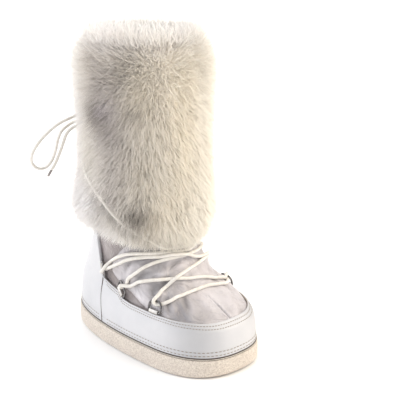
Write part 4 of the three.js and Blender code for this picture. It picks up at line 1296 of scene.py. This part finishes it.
def fur_tone(turn, height):
    """Colour of the fur: cream with its patches, some of them painted light and shade, whiter near the top."""
    degrees = signed_degrees(turn)
    tone = np.broadcast_to(np.array(CREAM), (*np.shape(turn), 3)).copy()
    for at, up, wide, tall, strength, colour in PATCHES_AND_PAINTED_LIGHT:
        gap = (degrees - at + 180) % 360 - 180
        share = strength * hump(gap, 0, wide) * hump(height, up, tall)
        tone += share[..., None] * (np.array(colour) - tone)
    white = smoothstep(366, 398, height) * 0.7
    return tone + white[..., None] * (np.array(PINK) - tone)


def tied_share(turn, up):
    """Where the lace draws the fur in, along its way round the shaft."""
    degrees = np.abs(signed_degrees(turn))
    at, ups, _ = np.array(ROUND).T
    line = np.interp(degrees, at, ups, left=-1, right=ups[-1])
    seen = hump(degrees, 78, 13) * (np.asarray(turn) > 0)
    return hump(up, line, 0.022) * (0.2 + 0.8 * seen) * (degrees > 30)


def flow(turn, height):
    """Sideways sway of the fur, a smooth field."""
    return (0.75 * np.sin(2 * turn + height / 41 + 0.6) + 0.55 * np.sin(5 * turn - height / 27 + 1.3)
            + 0.35 * np.sin(9 * turn + height / 15 + 0.4))


def swell(turn, height):
    """Locks of the undercoat: soft ridges that run down the fur and part."""
    return (1.3 * np.sin(7 * turn + 1.7 * np.sin(height / 33) + height / 60)
            + 0.9 * np.sin(13 * turn - height / 31 + 2 * np.sin(3 * turn))
            + 0.8 * np.sin(height / 15 + 3 * np.sin(4 * turn)))


# Top of the undercoat, and how much of the fur's depth is left to the hairs
FUR_TOP = SHAFT_TOP + FUR_ABOVE - 1
HAIR_LIFT = 9.0


def fur_height(turn, up):
    hem = shaft_hem(turn)
    return hem + up * (FUR_TOP - hem)


def under_depth(turn, up):
    """The undercoat's depth over the shaft."""
    full = np.maximum(fur_depth(up) * FUR_DEPTH - HAIR_LIFT, 3.0) + 0.8 * swell(turn, fur_height(turn, up))
    full = full - 5.0 * tied_share(turn, up) + 2.2 * hump(np.degrees(turn), 2, 42) * smoothstep(0.03, 0.2, up)
    ends = np.sqrt(smoothstep(-0.002, 0.05, up) * smoothstep(-0.002, 0.06, 1 - up))
    return np.maximum(full * ends, 0.4)


def fur_back_piece():
    """The undercoat that the hairs grow from."""
    turns = all_round(200)
    outer, inner = np.linspace(0, 1, 80), np.linspace(1, 0, 10)
    T, U = np.meshgrid(turns, np.concatenate([outer, inner]))
    H = fur_height(T, U)
    depth = under_depth(T, U)
    depth[len(outer):] = 0
    points = last(T, np.minimum(H, SHAFT_TOP), FUR_INSIDE + depth)
    points[..., 2] = H
    piece = closed_loft("fur_back", points, FUR_BACK)
    paint(piece, fur_tone(T, H).reshape(-1, 3))
    return piece


def gather(root, tip, spacing, pull):
    """Draws the tips of neighbouring hairs together into locks."""
    cells = np.floor(root / spacing + rng.random((1, 3))).astype(int)
    which = np.unique(cells, axis=0, return_inverse=True)[1].ravel()
    count = np.bincount(which)
    leans, middle = [np.stack([np.bincount(which, values[:, k]) / count for k in range(3)], -1)[which]
                     for values in (tip - root, root)]
    return tip + (leans + middle + 0.75 * (root - middle) - tip) * pull[:, None]


# Hairs are gathered into locks this wide, by this share. A hair is lightest at its tip: tones of its 3 + 3 + 1
# points
LOCK, LOCK_PULL, RIM_PULL = 6.5, 0.34, 0.45
HAIR_SHADE = np.array([0.96, 0.96, 0.96, 1.0, 1.0, 1.0, 1.02])
# Least and most: length and width of a hair, and its own tone; on the rim the length is a share of RIM's
HAIR_LENGTH, HAIR_WIDTH, HAIR_TONE = (13, 28), (0.24, 0.44), (0.92, 1.04)
RIM_LENGTH, RIM_WIDTH, RIM_TONE = (0.45, 1.2), (0.26, 0.46), (0.9, 1.05)
# How much shorter hairs are under the lace, and how much darker they are painted there, as shade where the
# lace draws the fur in
TIED_SHORTER, TIED_SHADE = 0.62, 0.62


def hair_mesh(name, root, out, lie, length, width, tone, clump):
    """Tapered three-sided hairs. Each leaves along out and bends over towards lie."""
    n = len(root)
    mid = root + unit(out + 0.35 * lie) * (length * 0.45)[:, None]
    tip = mid + unit(lie + 0.42 * out) * (length * 0.60)[:, None]
    tip = gather(root, tip, LOCK, rng.uniform(0.0, 1.0, n) * clump)
    along = unit(tip - root)
    side = unit(np.cross(along, out + 1e-6))
    up = np.cross(side, along)
    angle = angles(3)[None, :, None]
    ring = np.cos(angle) * side[:, None] + 0.7 * np.sin(angle) * up[:, None]
    low = root[:, None] + ring * width[:, None, None]
    high = mid[:, None] + ring * (0.8 * width)[:, None, None]
    points = np.concatenate([low, high, tip[:, None]], 1)
    base = 7 * np.arange(n)[:, None]
    i = np.arange(3)
    j = (i + 1) % 3
    quads = (base[:, :, None] + np.stack([i, j, j + 3, i + 3], -1)[None]).reshape(-1, 4)
    tris = (base[:, :, None] + np.stack([i + 3, j + 3, np.full(3, 6)], -1)[None]).reshape(-1, 3)
    foot = (base + np.array([2, 1, 0])).reshape(-1, 3)
    piece = mesh_object(name, points, [quads, np.concatenate([tris, foot])], FUR_HAIR, smooth=False)
    paint(piece, np.clip(tone[:, None, :] * HAIR_SHADE[None, :, None], 0, 1).reshape(-1, 3))
    ride(piece, "fur")


def plump(turn, height):
    """Where the fur puffs out over its hem, at the back of the near side."""
    return hump(turn, 2.25, 0.55) * hump(height, 180, 24)


UPWARD = np.array([0, 0, 1.0])


def shaft_frame(turn):
    """Outward and sideways directions round the shaft's top."""
    flat = skin_normal(turn, SHAFT_TOP)
    return flat, np.stack([-flat[:, 1], flat[:, 0], 0 * turn], -1)


def way_of(*pairs):
    """Directions made of others, each followed by how much of it."""
    return unit(sum(way * share[:, None] for way, share in zip(pairs[::2], pairs[1::2])))


def hairs(name, count, low_up, high_up):
    """Hairs over a band of the sleeve."""
    turn = rng.uniform(-math.pi, math.pi, count)
    up = rng.uniform(low_up, high_up, count)
    height = fur_height(turn, up)
    depth = np.maximum(under_depth(turn, up) - 1.2, 0.3)
    root = last(turn, np.minimum(height, SHAFT_TOP), FUR_INSIDE + depth)
    root[:, 2] = height
    flat, along = shaft_frame(turn)
    fall = -1.0 + 1.9 * smoothstep(0.70, 1.0, up + rng.normal(0, 0.11, count))
    sway = 0.45 * flow(turn, height) - 0.70 * np.sin(turn - 0.35) + rng.normal(0, 0.78, count)
    lift = (0.10 + 0.34 * np.abs(rng.normal(0, 1, count)) + 0.18 * hump(up, 0.88, 0.08)
            + 0.25 * hump(up, 0.09, 0.08) + 0.45 * plump(turn, height))
    lie = way_of(UPWARD, fall, along, 0.6 * sway, flat, lift)
    tied = tied_share(turn, up)
    inward = smoothstep(0.95, 1.0, up)
    out = way_of(flat, 1 - 0.5 * inward, UPWARD, inward)
    length = rng.uniform(*HAIR_LENGTH, count) * (1 - TIED_SHORTER * tied)
    length = length * (0.62 + 0.38 * smoothstep(0, 0.07, up)) * (1 + 0.35 * plump(turn, height))
    width = rng.uniform(*HAIR_WIDTH, count)
    tone = fur_tone(turn + rng.normal(0, 0.05, count), height + rng.normal(0, 5, count))
    # Painted shade: hairs under the lace are darker where it draws the fur in.
    tone = tone * (rng.uniform(*HAIR_TONE, (count, 1)) - TIED_SHADE * tied[:, None])
    hair_mesh(name, root, out, lie, length, width, tone, LOCK_PULL)


# The way over the rim, from outside to inside: offset from the last, height over the shaft's top, the
# normal's out and up parts, the hairs' lean and rise, and their length
RIM = np.array([(5.0, 3, 0.9, 0.45, -0.1, 0.9, 19), (1.5, 8, 0.55, 0.85, -0.6, 0.65, 20),
                (-1.0, 8.5, -0.2, 1.0, -1.0, 0.40, 22), (-3.0, -1, -0.85, 0.55, -1.0, 0.50, 22),
                (-3.0, -18, -1.0, 0.25, -0.8, 0.7, 20), (-3.0, -42, -1.0, 0.2, -0.5, 0.5, 13)])
# Where the rim's hair stands tallest, a turn
TALLEST_RIM = 0.9


def rim_hairs(name, count):
    """Hairs over the rim and down its inside. They lean in over the opening."""
    turn = rng.uniform(-math.pi, math.pi, count)
    way = rng.uniform(0, len(RIM) - 1, count)
    rim = [np.interp(way, range(len(RIM)), values) for values in RIM.T]
    offset, above, outward, upward, lean, rise, length = rim
    height = SHAFT_TOP + above
    flat, along = shaft_frame(turn)
    root = last(turn, SHAFT_TOP, offset)
    root[:, 2] = height
    out = way_of(flat, outward, UPWARD, upward)
    sway = 0.4 * flow(turn, height) + rng.normal(0, 1.15, count)
    lean = lean * rng.uniform(0.6, 1.3, count)
    over = np.maximum(0, np.cos(turn - TALLEST_RIM)) * hump(way, 2.0, 0.9)
    rise = rise * rng.uniform(0.6, 1.25, count) * (1 - 0.2 * over)
    lie = way_of(flat, lean, UPWARD, rise, along, 0.45 * sway)
    length = length * rng.uniform(*RIM_LENGTH, count) * (0.94 + 0.38 * np.cos(turn - TALLEST_RIM))
    length = length * (1 + 0.45 * over)
    width = rng.uniform(*RIM_WIDTH, count)
    tone = fur_tone(turn, height + 8)
    # Painted light: hairs down the rim's inside are painted whiter, against the shade in the opening.
    tone = tone + (1 - tone) * 0.7 * smoothstep(1.2, 2.6, way)[:, None]
    hair_mesh(name, root, out, lie, length, width, tone * rng.uniform(*RIM_TONE, (count, 1)), RIM_PULL)


ride(fur_back_piece(), "fur", "fur_sleeve")
# Bands of hairs: name, number, and the shares of the way up between which they grow
HAIR_BANDS = [("fur_hair_hem", 11800, 0.0, 0.16), ("fur_hair_low", 13000, 0.16, 0.38),
              ("fur_hair_mid", 12800, 0.38, 0.60), ("fur_hair_high", 12800, 0.60, 0.82),
              ("fur_hair_top", 12000, 0.82, 1.0)]
for band in HAIR_BANDS:
    hairs(*band)
rim_hairs("fur_hair_rim", 9800)

# Floor and light
bpy.ops.mesh.primitive_plane_add(size=400)
floor = bpy.context.object
floor.name = "floor"
paper = Shader("floor_paper", 0.9)
paper.bsdf.inputs["Specular IOR Level"].default_value = 0.1
paper.colour(paper.ramp(paper.noise(2), (0.0, (0.95, 0.95, 0.95)), (1.0, (0.96, 0.96, 0.96))))
floor.data.materials.append(paper.material)


def sun(name, azimuth, elevation, strength, colour, spread):
    """A broad soft light from far off. azimuth: 0 from behind the toe, growing to the far side."""
    light = bpy.data.lights.new(name, "SUN")
    light.energy, light.color, light.angle = strength, colour, math.radians(spread)
    lamp = bpy.data.objects.new(name, light)
    scene.collection.objects.link(lamp)
    a, e = math.radians(azimuth), math.radians(elevation)
    toward = Vector((math.sin(a) * math.cos(e), -math.cos(a) * math.cos(e), math.sin(e)))
    lamp.rotation_mode = "QUATERNION"
    lamp.rotation_quaternion = (-toward).to_track_quat("-Z", "Y")


sun("key", 40, 40, 2.35, (1.0, 0.90, 0.76), 60)
sun("fill", -118, 30, 1.25, (0.88, 0.92, 1.0), 80)
sun("back", 150, 55, 1.1, (1.0, 0.97, 0.93), 60)
sun("edge", -152, 14, 0.75, (1.0, 0.98, 0.96), 50)
world = bpy.data.worlds.new("studio")
scene.world = world
world.use_nodes = True
world.node_tree.nodes["Background"].inputs["Color"].default_value = (0.97, 0.98, 1.0, 1)
world.node_tree.nodes["Background"].inputs["Strength"].default_value = 0.60
scene.view_settings.view_transform = "Standard"
